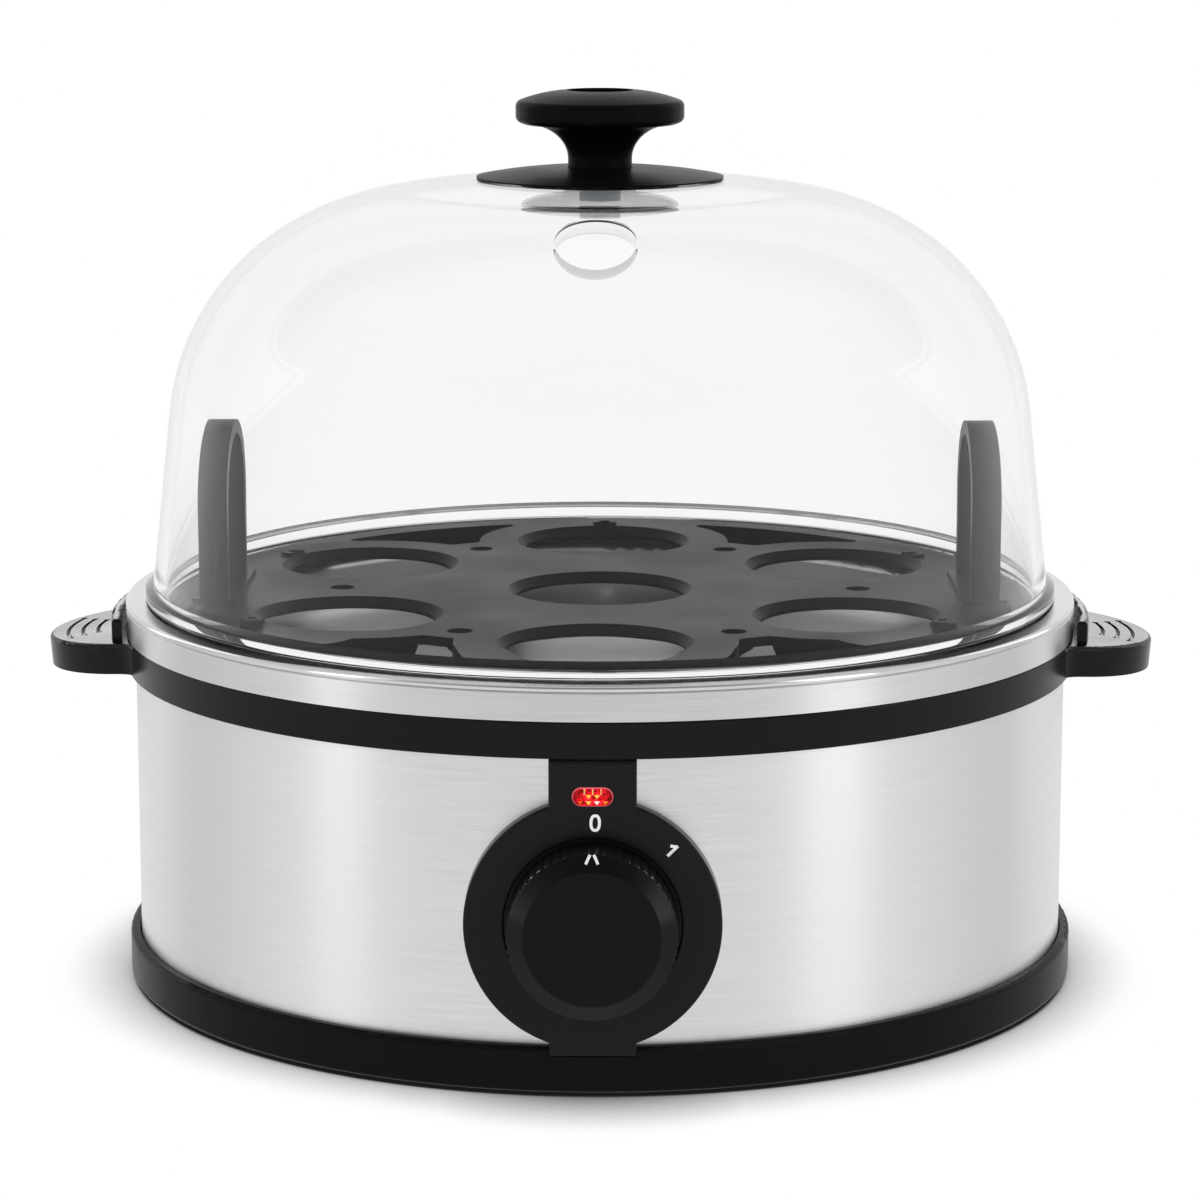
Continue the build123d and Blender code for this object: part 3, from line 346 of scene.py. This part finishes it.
a = np.linspace(0, 2 * math.pi, 64, endpoint=False)
oval = np.column_stack([np.sign(np.sin(a)) * abs(np.sin(a)) ** 0.85 * FIGURE_WIDTH / 2,
                        np.sign(np.cos(a)) * abs(np.cos(a)) ** 0.85 * FIGURE_HEIGHT / 2])
eye = oval * (1 - 2 * STROKE / np.array([FIGURE_WIDTH, FIGURE_HEIGHT]))
nought = film(oval, eye, on_fascia(NOUGHT_TURN, NOUGHT_RADIUS))
faces = quads(*nought.shape[:2], wrap_rows=True)
piece("figure_nought", nought, faces, print_white, "housing", "white_plastic")


def stroke(start, end, width):
    """Loop round a straight stroke with square ends."""
    start, end = np.array(start, float), np.array(end, float)
    run = (end - start) / np.linalg.norm(end - start)
    side = np.array([-run[1], run[0]]) * width / 2
    t = np.linspace(0, 1, 8)[:, None]
    there = start + side + (end - start) * t
    back = end - side + (start - end) * t
    return np.concatenate([there, back])


def strokes(lines, width, place):
    """Films for several strokes, each a loop closed on its own middle line."""
    points, faces, count = [], [], 0
    for start, end in lines:
        loop = stroke(start, end, width)
        middle = (loop + loop[::-1]) / 2
        rows = film(loop, middle, place)
        points.append(rows.reshape(-1, 3))
        faces.append(quads(*rows.shape[:2], wrap_rows=True) + count)
        count += rows.shape[0] * rows.shape[1]
    return np.concatenate(points), np.concatenate(faces)


half = ONE_HEIGHT / 2
points, faces = strokes([((ONE_STEM, -half), (ONE_STEM, half)),
                         ((ONE_STEM, half - STROKE / 2), (-0.65, half - 0.85))], STROKE,
                        on_fascia(ONE_TURN, ONE_RADIUS))
piece("figure_one", points, faces, print_white, "housing", "white_plastic")


# Indicator lens
# A pill-shaped lens of clear red acrylic with a bevelled front and rows of small prisms
# behind. The neon's light through it is painted on as glow: deep red at the ends, yellow in the middle.
Z_LENS = 49.95
LENS_HALF_RUN = 1.775
LENS_HALF = 1.525
LENS_FRONT = -85.4
LENS_BEVEL = 0.6
LENS_BACK = -81.4
FACET_WIDE = 1.34
FACET_TALL = 1.02
FACET_HALF = 0.47
FACET_DROP = 0.65
FACET_SHIFT = 0.63
FACET_LIFT = 0.575
TOP_FACETS = 0.445
LAMP_COLUMN = 0.6
LENS_RIM = 0.15


def pill(inset):
    """Outline of the lens: two half circles joined by straight runs, moved in by inset."""
    turn = np.linspace(0, 2 * math.pi, 96, endpoint=False)
    side = np.where(np.sin(turn) >= 0, 1, -1) * LENS_HALF_RUN
    return np.column_stack([(LENS_HALF - inset) * np.sin(turn) + side, (LENS_HALF - inset) * np.cos(turn)])


def lens_rows():
    """Rings from the back over the bevel to the flat front."""
    rings = [(LENS_HALF, LENS_BACK), (0.0, LENS_BACK), (0.0, LENS_FRONT + LENS_BEVEL),
             (0.08, LENS_FRONT + LENS_BEVEL * 0.8), (LENS_BEVEL * 0.75, LENS_FRONT + 0.04),
             (LENS_BEVEL, LENS_FRONT)]
    rings += [(LENS_BEVEL + (LENS_HALF - LENS_BEVEL) * t, LENS_FRONT) for t in (0.3, 0.65, 1.0)]
    return np.array([facing(pill(inset), depth) + [0, 0, Z_LENS - Z_PANEL] for inset, depth in rings])


# The neon's light through the red acrylic is painted as glow: all the lens's colours are emitted, and the
# prisms show only in this painted light.
lens_red, tree, out = material("lit_red_acrylic")


def sums(operation, first, second=0.0, third=0.0):
    """One step of arithmetic in the material being made."""
    return add(tree, "Math", {"operation": operation}, i0=first, i1=second, i2=third).outputs[0]


def ramp(level, *stops):
    """Colour ramp through (place, sRGB code) stops."""
    made = add(tree, "ValToRGB", i0=level)
    bar = made.color_ramp.elements
    bar.remove(bar[1])
    bar[0].position, bar[0].color = stops[0][0], linear(stops[0][1])
    for at, code in stops[1:]:
        bar.new(at).color = linear(code)
    return made.outputs[0]


def between(level, low, high):
    """Share from 0 to 1 of a level on its way from low to high."""
    return add(tree, "MapRange", i0=level, i1=low, i2=high).outputs[0]


def over(share, under, upper):
    """One colour laid over another by a share."""
    return add(tree, "MixRGB", i0=share, i1=under, i2=upper).outputs[0]


about = add(tree, "Mapping", Vector=add(tree, "TexCoord").outputs["Object"],
            Scale=(1 / MM, 1 / MM, 1 / MM), Location=(0, 0, -Z_LENS)).outputs[0]
across, _, up = add(tree, "SeparateXYZ", i0=about).outputs
far = sums("ABSOLUTE", across)
column = sums("MULTIPLY_ADD", across, 1 / FACET_WIDE, FACET_SHIFT / FACET_WIDE)
column_middle = sums("ROUND", column)
aside = sums("MULTIPLY", sums("ABSOLUTE", sums("SUBTRACT", column, column_middle)), FACET_WIDE)
row = sums("MULTIPLY_ADD", up, 1 / FACET_TALL, FACET_LIFT / FACET_TALL)
row_top = sums("CEIL", row)
below = sums("MULTIPLY", sums("SUBTRACT", row_top, row), FACET_TALL)
slant = sums("MULTIPLY_ADD", below, -FACET_HALF / FACET_DROP, FACET_HALF)
low_rows = between(up, TOP_FACETS + 0.015, TOP_FACETS - 0.015)
facet = sums("MULTIPLY", between(sums("SUBTRACT", slant, aside), -0.03, 0.06), low_rows)
middle = between(far, 2.1, 1.2)
from_lamp = sums("ABSOLUTE", sums("SUBTRACT", column_middle, LAMP_COLUMN))
lit_by = sums("MULTIPLY_ADD", row_top, -0.2, sums("MULTIPLY_ADD", from_lamp, -0.5, 1.0))
facet_glow = ramp(lit_by, (0.0, "#c00818"), (0.15, "#e81020"), (0.35, "#ff9a28"), (0.45, "#ffd040"),
                  (0.72, "#ffd858"), (0.8, "#fff6ec"))
# Painted fall-off of the neon's light: darker red towards the ends, broken up in soft clouds.
cloud = add(tree, "TexNoise", Vector=about, Scale=1 / 0.62, Detail=1.0).outputs["Fac"]
body = ramp(sums("MULTIPLY", between(cloud, 0.3, 0.68), between(far, 3.4, 1.4)),
            (0.0, "#4a0006"), (0.3, "#b0040f"), (0.6, "#ff0c18"), (1.0, "#ff2a40"))
# Painted highlights along the prism edges near the middle.
edge = between(aside, FACET_WIDE / 2 - 0.14, FACET_WIDE / 2 - 0.08)
edges = sums("MULTIPLY", edge, between(up, 0.42, 0.52))
glow = over(facet, body, facet_glow)
glow = over(sums("MULTIPLY", edges, middle), glow, linear("#f2c27a"))
# A painted pink light round the rim.
beyond = sums("MAXIMUM", sums("SUBTRACT", far, LENS_HALF_RUN), 0.0)
out_by = sums("SQRT", sums("MULTIPLY_ADD", beyond, beyond, sums("MULTIPLY", up, up)))
painted_rim_light = between(out_by, LENS_HALF - LENS_RIM - 0.05, LENS_HALF - LENS_RIM + 0.05)
glow = over(painted_rim_light, glow, linear("#d8606c"))
lit = add(tree, "BsdfPrincipled", Base_Color=linear("#2a0203"), Roughness=0.12, IOR=1.49,
          Specular_IOR_Level=0.1, Emission_Color=glow, Emission_Strength=1.0)
tree.links.new(lit.outputs[0], out.inputs[0])
rows = lens_rows()
piece("lens", rows, quads(*rows.shape[:2]), lens_red, "housing", "red_lens", "indicator_lens")

# The neon shows orange through thin glass.
lamp_glass, tree, out = material("neon_lamp_glass")
orange = add(tree, "BsdfPrincipled", Base_Color=linear("#ff9a5a"), Roughness=0.05, Transmission_Weight=0.6,
             Emission_Color=linear("#ff5a20"), Emission_Strength=0.6)
tree.links.new(orange.outputs[0], out.inputs[0])
dress(lamp_glass, "neon_lamp")


# Control knob
# A hollow black ABS cap pressed on the switch shaft. Its side is fluted for grip, its
# front has a polished bevel, and two white strokes on the bevel make the pointer.
KNOB_RADIUS = 13.7
KNOB_FRONT = -93.1
KNOB_BACK = -84.1
BEVEL_RADIAL = 2.7
BEVEL_LENGTH = 1.6
FLUTES = 52
FLUTE_DEPTH = 0.22
KNOB_EDGE = 0.35
RIM_EDGE = 0.22
FLUTE_STEPS = 14
KNOB_WALL = 2.0
KNOB_DRAFT = 0.4
KNOB_CAP = 3.0


def knob_rows():
    """Rings of the knob by direction and path: each radius is the turned section's, cut to the fluted radius
    R - d ((1 + cos(n a)) / 2)^3, which has narrow grooves and broad lands."""
    turn = np.linspace(0, 2 * math.pi, FLUTES * FLUTE_STEPS, endpoint=False)
    fluted = KNOB_RADIUS - FLUTE_DEPTH * ((1 + np.cos(FLUTES * turn)) / 2) ** 3
    face = KNOB_RADIUS - BEVEL_RADIAL
    slope = math.atan2(BEVEL_LENGTH, BEVEL_RADIAL)
    path = [(0.0, KNOB_FRONT), (face * 0.5, KNOB_FRONT), (face - 2 * KNOB_EDGE, KNOB_FRONT)]
    reach = KNOB_EDGE * math.tan(slope / 2)
    for share in np.linspace(0, 1, 5):
        bend = slope * share
        depth = KNOB_FRONT + KNOB_EDGE * (1 - math.cos(bend))
        path.append((face - reach + KNOB_EDGE * math.sin(bend), depth))
    bevel_end = BEVEL_RADIAL - RIM_EDGE * (1 - math.sin(slope))
    for share in np.linspace(0.1, 1, 22)[:-1]:
        path.append((face + bevel_end * share, KNOB_FRONT + bevel_end * share * math.tan(slope)))
    turned = KNOB_FRONT + bevel_end * math.tan(slope) + RIM_EDGE * math.cos(slope)
    for bend in np.linspace(slope, math.pi / 2, 6):
        path.append((KNOB_RADIUS - RIM_EDGE * (1 - math.sin(bend)), turned - RIM_EDGE * math.cos(bend)))
    path += [(KNOB_RADIUS, KNOB_BACK), (KNOB_RADIUS - KNOB_WALL, KNOB_BACK),
             (KNOB_RADIUS - KNOB_WALL - KNOB_DRAFT, KNOB_FRONT + KNOB_CAP), (0.0, KNOB_FRONT + KNOB_CAP)]
    radius = np.minimum(np.array([r for r, y in path])[:, None], fluted)
    depth = np.broadcast_to(np.array([y for r, y in path])[:, None], radius.shape)
    return np.stack([radius * np.sin(turn), depth, radius * np.cos(turn) + Z_PANEL], -1)


def on_front_bevel(x, y, z):
    """Whether a place lies on the bevel or its rounded rim."""
    beyond_face = np.hypot(x, z - Z_PANEL) > KNOB_RADIUS - BEVEL_RADIAL
    return beyond_face & (y < KNOB_FRONT + BEVEL_LENGTH + RIM_EDGE)


# The face and side are matt from the mould, and the polished bevel shows a soft rim of light.
knob_matt = moulded("matt_knob_abs", "#0a0a0a", "#0d0d0d", 0.32, 0.11, 0.2, 0.006)
knob_gloss = moulded("polished_knob_abs", "#060606", "#080808", 0.2, 0.18, 0.2, 0.003)
rows = knob_rows()
knob = piece("dial_knob", rows, quads(*rows.shape[:2]), knob_matt, "dial", "knob_plastic", "control_knob",
             sharp=28.0)
overlay(knob, knob_gloss, on_front_bevel)


def on_bevel(across, down, rise):
    """Puts pointer strokes on the knob's bevel at the top, down from its outer edge."""
    slope = math.hypot(BEVEL_RADIAL, BEVEL_LENGTH)
    radius = KNOB_RADIUS - down * BEVEL_RADIAL / slope + rise * BEVEL_LENGTH / slope
    depth = KNOB_FRONT + BEVEL_LENGTH - down * BEVEL_LENGTH / slope - rise * BEVEL_RADIAL / slope
    turn = across / KNOB_RADIUS
    return np.column_stack([radius * np.sin(turn), depth, radius * np.cos(turn) + Z_PANEL])


points, faces = strokes([((-0.3, 0.24), (-1.08, 1.75)), ((0.3, 0.24), (1.08, 1.75))], STROKE, on_bevel)
piece("dial_pointer", points, faces, print_white, "dial", "white_plastic")


# Egg tray
# One glossy black polypropylene moulding with seven bevelled egg seats, steam slots
# and two loop handles. It stands on the ledge of the pan and lifts out.
# Polypropylene is waxy: black, with a broad and weak gloss.
tray_pp = moulded("glossy_black_polypropylene", "#0a0a0a", "#0e0e0e", 0.34, 0.04, 0.3, 0.004)
dress(tray_pp, "egg_tray")


# Lid dome
# The dome is moulded in clear polycarbonate, 2 mm thick. The matt wall of the steam hole
# carries a painted glow for the light piped through the sheet. A stepped foot stands on the rim of the pan.
Z_LID = 68.0
FOOT_RADIUS = 79.4
DOME_WALL = 2.0
WALL_HEIGHT = 32.7
DRAFT = math.radians(6.3)
HAUNCH_RADIUS = 42.7
HAUNCH_END = DRAFT + math.radians(52.74)
SHOULDER_RADIUS = 50.9
SHOULDER_END = HAUNCH_END + math.radians(23.03)
LIP_RADIUS = 80.6
LIP_HEIGHT = 1.7
FLARE_HEIGHT = 1.2
LIP_EDGE = 0.4
SPIGOT_HOLE = 4.8
VENT_PLACE = 51.0
VENT_RADIUS = 6.5
VENT_EDGE = 0.5
DOME_COLUMNS = 288
VENT_COLUMNS = 9
VENT_WINDOW = (41.0, 61.0)

wall_top = np.array([FOOT_RADIUS - WALL_HEIGHT * math.tan(DRAFT), Z_LID + WALL_HEIGHT])


def heading(angle):
    """Unit step in radius and height at an angle above level."""
    return np.stack([np.cos(angle), np.sin(angle)], -1)


haunch_centre = wall_top - HAUNCH_RADIUS * heading(DRAFT)
shoulder_centre = haunch_centre + (HAUNCH_RADIUS - SHOULDER_RADIUS) * heading(HAUNCH_END)
crown_radius = SHOULDER_RADIUS + shoulder_centre[0] / math.cos(SHOULDER_END)
crown_centre = shoulder_centre + (SHOULDER_RADIUS - crown_radius) * heading(SHOULDER_END)


def dome_section(inset):
    """Section of one face of the dome, from the wall over the haunch and shoulder arcs to the hole for the
    knob, moved into the wall by inset: each arc is centre + (R - inset) (cos a, sin a)."""
    foot = np.array([FOOT_RADIUS - (LIP_HEIGHT + 2 * FLARE_HEIGHT) * math.tan(DRAFT),
                     Z_LID + LIP_HEIGHT + 2 * FLARE_HEIGHT])
    t = np.linspace(0, 1, 14)[:-1, None]
    wall = foot + (wall_top - foot) * t - inset * heading(DRAFT)
    hole = math.acos(SPIGOT_HOLE / (crown_radius - inset))
    arcs = [centre + (radius - inset) * heading(np.linspace(start, end, count))
            for centre, radius, start, end, count in (
                (haunch_centre, HAUNCH_RADIUS, DRAFT, HAUNCH_END, 36),
                (shoulder_centre, SHOULDER_RADIUS, HAUNCH_END, SHOULDER_END, 24),
                (crown_centre, crown_radius, SHOULDER_END, hole, 28))]
    return np.concatenate([wall, arcs[0][:-1], arcs[1][:-1], arcs[2]])


def dome_level(radius, inset):
    """Height of a face of the dome at a radius, from the arc that holds it."""
    level = np.zeros_like(radius)
    for centre, bend, last in ((haunch_centre, HAUNCH_RADIUS, DRAFT),
                               (shoulder_centre, SHOULDER_RADIUS, HAUNCH_END),
                               (crown_centre, crown_radius, SHOULDER_END)):
        arc = centre[1] + np.sqrt(np.maximum((bend - inset) ** 2 - (radius - centre[0]) ** 2, 0))
        level = np.where(radius <= centre[0] + (bend - inset) * math.cos(last), arc, level)
    return level


def foot_section():
    """Section of the stepped foot from inside to outside: bottom edge, lip with its rounded corner, flare."""
    inner = FOOT_RADIUS - DOME_WALL / math.cos(DRAFT)
    turn = np.linspace(0, math.pi / 2, 5)
    soft = LIP_EDGE / 2
    low = np.array([LIP_RADIUS - soft, Z_LID + soft]) + soft * np.stack([np.sin(turn), -np.cos(turn)], -1)
    rise = np.linspace(0, math.radians(48), 6)
    high = np.array([LIP_RADIUS - LIP_EDGE, Z_LID + LIP_HEIGHT - LIP_EDGE / 2]) + LIP_EDGE * heading(rise)
    flare = np.array([FOOT_RADIUS - (LIP_HEIGHT + FLARE_HEIGHT) * math.tan(DRAFT) + 0.1,
                      Z_LID + LIP_HEIGHT + FLARE_HEIGHT - 0.1])
    return np.concatenate([[[inner, Z_LID + soft], [inner + soft, Z_LID]], low, high, [flare]])


def vent_patch(outer_edge, inner_edge):
    """Rows from the window's edge in the outer face to the vent, through it and out to the edge in the inner
    face: places move straight on plan towards the vent's circle and take their height from the dome."""
    middle = np.array([0.0, -VENT_PLACE])
    way = outer_edge[:, :2] - middle
    unit = way / np.linalg.norm(way, axis=1, keepdims=True)
    rim = middle + unit * (VENT_RADIUS + VENT_EDGE)
    halves = []
    for edge, inset, sink in ((outer_edge, 0.0, VENT_EDGE), (inner_edge, DOME_WALL, -VENT_EDGE)):
        rows = [edge]
        for t in np.linspace(0, 1, 7)[1:]:
            plan = edge[:, :2] + (rim - edge[:, :2]) * t
            rows.append(np.column_stack([plan, dome_level(np.hypot(*plan.T), inset)]))
        for bend in np.linspace(0, math.pi / 2, 6)[1:]:
            plan = middle + unit * (VENT_RADIUS + VENT_EDGE * (1 - math.sin(bend)))
            level = dome_level(np.hypot(*plan.T), inset) - sink * (1 - math.cos(bend))
            rows.append(np.column_stack([plan, level]))
        halves.append(rows)
    return np.array(halves[0] + halves[1][::-1])


def dome_mesh():
    """The turned section as a grid closed on itself, less a window in each face, and the patch round the vent
    that fills both windows."""
    foot, outer, inner = foot_section(), dome_section(0.0), dome_section(DOME_WALL)
    section = np.concatenate([foot, outer, inner[::-1]])
    turn = np.linspace(0, 2 * math.pi, DOME_COLUMNS, endpoint=False) + math.pi / 2
    grid = np.stack([section[:, :1] * np.cos(turn), section[:, :1] * np.sin(turn),
                     np.broadcast_to(section[:, 1:], (len(section), DOME_COLUMNS))], -1)
    within = np.flatnonzero((outer[:, 0] > VENT_WINDOW[0]) & (outer[:, 0] < VENT_WINDOW[1]))
    low, high = within[0], within[-1]
    left, right = DOME_COLUMNS // 2 - VENT_COLUMNS, DOME_COLUMNS // 2 + VENT_COLUMNS
    rise, run = np.arange(low, high), np.arange(left, right)
    i = np.concatenate([np.full_like(run, low), rise, np.full_like(run, high), rise[::-1] + 1])
    j = np.concatenate([run, np.full_like(rise, right), run[::-1] + 1, np.full_like(rise, left)])
    rows = vent_patch(grid[len(foot) + i, j], grid[len(section) - 1 - i, j])
    faces = quads(*grid.shape[:2], wrap_rows=True)
    i, j = np.divmod(faces[:, 0], DOME_COLUMNS)
    outside = (i >= len(foot) + low) & (i < len(foot) + high)
    inside = (i >= len(section) - 1 - high) & (i < len(section) - 1 - low)
    faces = faces[~((outside | inside) & (j >= left) & (j < right))]
    return (np.concatenate([grid.reshape(-1, 3), rows.reshape(-1, 3)]),
            np.concatenate([faces, quads(*rows.shape[:2]) + len(section) * DOME_COLUMNS]))


# Clear sheet bends what lies behind it, and its thickness greys the edges.
lid_clear, tree, out = material("clear_polycarbonate")
clear = add(tree, "BsdfPrincipled", Base_Color=linear("#fdfdfd"), Roughness=0.0, IOR=1.5,
            Transmission_Weight=1.0, Specular_Tint=(0.3, 0.3, 0.3, 1))
passed = add(tree, "BsdfTransparent", Color=linear("#f4f4f4"))
ray = add(tree, "LightPath")
both = add(tree, "MixShader", i0=ray.outputs["Is Shadow Ray"], i1=clear.outputs[0], i2=passed.outputs[0])
tree.links.new(both.outputs[0], out.inputs[0])
depth = add(tree, "VolumeAbsorption", Color=linear("#c8cacb"), Density=4.0)
tree.links.new(depth.outputs[0], out.inputs["Volume"])
points, faces = dome_mesh()
dome = piece("dome", points, faces, lid_clear, "lid", "clear_plastic", "lid_dome", sharp=40.0)


def in_vent(x, y, z):
    """Whether a place lies on the wall of the steam hole."""
    return np.hypot(x, y + VENT_PLACE) < VENT_RADIUS + VENT_EDGE / 2


# The hole's matt wall is painted with an emitted glow for the light that leaves it from inside the sheet.
vent_wall_glow, tree, out = material("matt_polycarbonate")
cut = add(tree, "BsdfPrincipled", Base_Color=linear("#f2f3f3"), Roughness=0.5, IOR=1.5,
          Emission_Color=linear("#ffffff"), Emission_Strength=0.35)
tree.links.new(cut.outputs[0], out.inputs[0])
overlay(dome, vent_wall_glow, in_vent)


# Lid knob
# A waisted knob of black phenolic with a thin flange, turned smooth. A screw from
# inside the dome draws it down against a washer.
# Turned phenolic is deep black with almost no sheen.
knob_phenolic = moulded("black_phenolic_knob", "#0c0c0c", "#101010", 0.33, 0.03, 0.25, 0.005)
dress(knob_phenolic, "lid_knob", "lid_knob_washer")
dress(zinc_steel, "lid_knob_screw")


# Studio
# A pale floor and a white surround give even light. Tall soft lamps draw the upright bands
# on the steel, one behind lights the black mouldings, and two small ones the knob's rim.
FLOOR_RADIUS = 9000.0
SHADOW_REACH = 24.0
SHADOW_DARKEST = 0.28
SHADOW_END = 0.85
EVEN_LIGHT = 0.6
FRONT_SHADE = 0.85
SIDE_SHADE = 0.24
SIDE_SHADE_AT = 0.45
turn = np.linspace(0, 2 * math.pi, 96, endpoint=False)
reach = np.array([0.0, 0.05, 0.2, 1.0]) * FLOOR_RADIUS
disc = np.stack([reach[:, None] * np.cos(turn), reach[:, None] * np.sin(turn), np.zeros((4, 96))], -1)
# Matt white paper. The camera sees a painted shadow on it, darkened by occlusion only where the object stands
# close above it.
floor_white, tree, out = material("white_paper_floor")
paper = add(tree, "BsdfDiffuse", Color=linear("#efefef"))
near = add(tree, "AmbientOcclusion", {"samples": 16}, Distance=SHADOW_REACH * MM)
fade = add(tree, "MapRange", i0=near.outputs["AO"], i1=SHADOW_DARKEST, i2=SHADOW_END, i3=0.01, i4=1.0)
painted_floor_shadow = add(tree, "Emission", Color=(1, 1, 1, 1), Strength=fade.outputs[0])
ray = add(tree, "LightPath")
seen = sums("MAXIMUM", ray.outputs["Is Camera Ray"], ray.outputs["Is Transmission Ray"])
total = add(tree, "MixShader", i0=seen, i1=paper.outputs[0], i2=painted_floor_shadow.outputs[0])
tree.links.new(total.outputs[0], out.inputs[0])
mesh = bpy.data.meshes.new("floor")
mesh.from_pydata((disc.reshape(-1, 3) * MM).tolist(), [], quads(4, 96).tolist())
mesh.materials.append(floor_white)
floor = bpy.data.objects.new("floor", mesh)
bpy.context.scene.collection.objects.link(floor)
floor.visible_glossy = False

world = bpy.data.worlds.new("studio")
bpy.context.scene.world = world
world.use_nodes = True
tree = world.node_tree
tree.nodes.clear()
out = tree.nodes.new("ShaderNodeOutputWorld")
ray = add(tree, "LightPath")
seen = sums("MAXIMUM", ray.outputs["Is Transmission Ray"], ray.outputs["Is Glossy Ray"])
way = add(tree, "SeparateXYZ", i0=add(tree, "TexCoord").outputs["Generated"])
front = between(way.outputs["Y"], 0.1, -0.8)
high = add(tree, "MapRange", i0=way.outputs["Z"], i1=0.0, i2=0.6, i3=0.0, i4=FRONT_SHADE).outputs[0]
aside = sums("ABSOLUTE", sums("SUBTRACT", way.outputs["Y"], SIDE_SHADE_AT))
dim = sums("MULTIPLY", between(aside, 0.6, 0.0), SIDE_SHADE)
room = sums("SUBTRACT", sums("SUBTRACT", 1.0, sums("MULTIPLY", front, high)), dim)
power = add(tree, "MapRange", i0=seen, i3=EVEN_LIGHT, i4=room)
power = add(tree, "MapRange", i0=ray.outputs["Is Camera Ray"], i3=power.outputs[0], i4=1.0)
sky = add(tree, "Background", Color=(1, 1, 1, 1), Strength=power.outputs[0])
tree.links.new(sky.outputs[0], out.inputs[0])


def lit_group(name, state, *members):
    """Collection by which a lamp lights only its members, or all but them."""
    made = bpy.data.collections.new(name)
    for member in members:
        made.objects.link(member)
    for entry in made.collection_objects:
        entry.light_linking.link_state = state
    return made


outside = lit_group("all_but_the_lid", "EXCLUDE", dome, nodes["egg_tray"])
mouldings = lit_group("black_mouldings", "INCLUDE", nodes["upper_ring"], fascia, knob)
dial = lit_group("dial_only", "INCLUDE", knob)


def lamp(name, azimuth, distance, height, wide, tall, watts, lights=outside):
    """Soft rectangular lamp at an azimuth from the front, facing the middle of the object, flagged off all
    but the group that it lights."""
    data = bpy.data.lights.new(name, "AREA")
    data.shape, data.size, data.size_y, data.energy = "RECTANGLE", wide, tall, watts
    made = bpy.data.objects.new(name, data)
    a = math.radians(azimuth)
    made.location = (distance * math.sin(a), -distance * math.cos(a), height)
    made.rotation_euler = (math.pi / 2 - math.atan2(height - 0.06, distance), 0, a)
    bpy.context.scene.collection.objects.link(made)
    made.light_linking.receiver_collection = lights


lamp("strip_left", -62, 1.2, 0.5, 0.28, 1.1, 1.6)
lamp("strip_right", 57, 1.2, 0.5, 0.4, 1.1, 2.3)
lamp("strip_back_left", -126, 1.2, 0.5, 0.25, 1.0, 1.2)
lamp("strip_back_right", 126, 1.2, 0.5, 0.25, 1.0, 1.2)
lamp("back_high", 180, 1.5, 0.5, 1.2, 0.35, 3.8, mouldings)
lamp("rim_left", -113, 0.95, 0.76, 0.5, 0.25, 32, dial)
lamp("rim_right", 113, 0.95, 0.76, 0.5, 0.25, 32, dial)

EYE_DISTANCE = 0.7172
EYE_HEIGHT = 0.2018
EYE_TURN = math.radians(0.8)
EYE_PITCH = 0.1875
FOCAL = 4088 / 1200 * 36
view = bpy.data.cameras.new("camera")
view.sensor_width = 36
view.lens = FOCAL
view.clip_end = 100
eye = bpy.data.objects.new("camera", view)
eye.location = (EYE_DISTANCE * math.sin(EYE_TURN), -EYE_DISTANCE * math.cos(EYE_TURN), EYE_HEIGHT)
eye.rotation_euler = (math.pi / 2 - EYE_PITCH, 0, EYE_TURN)
bpy.context.scene.collection.objects.link(eye)
bpy.context.scene.camera = eye
bpy.context.scene.view_settings.view_transform = "Standard"
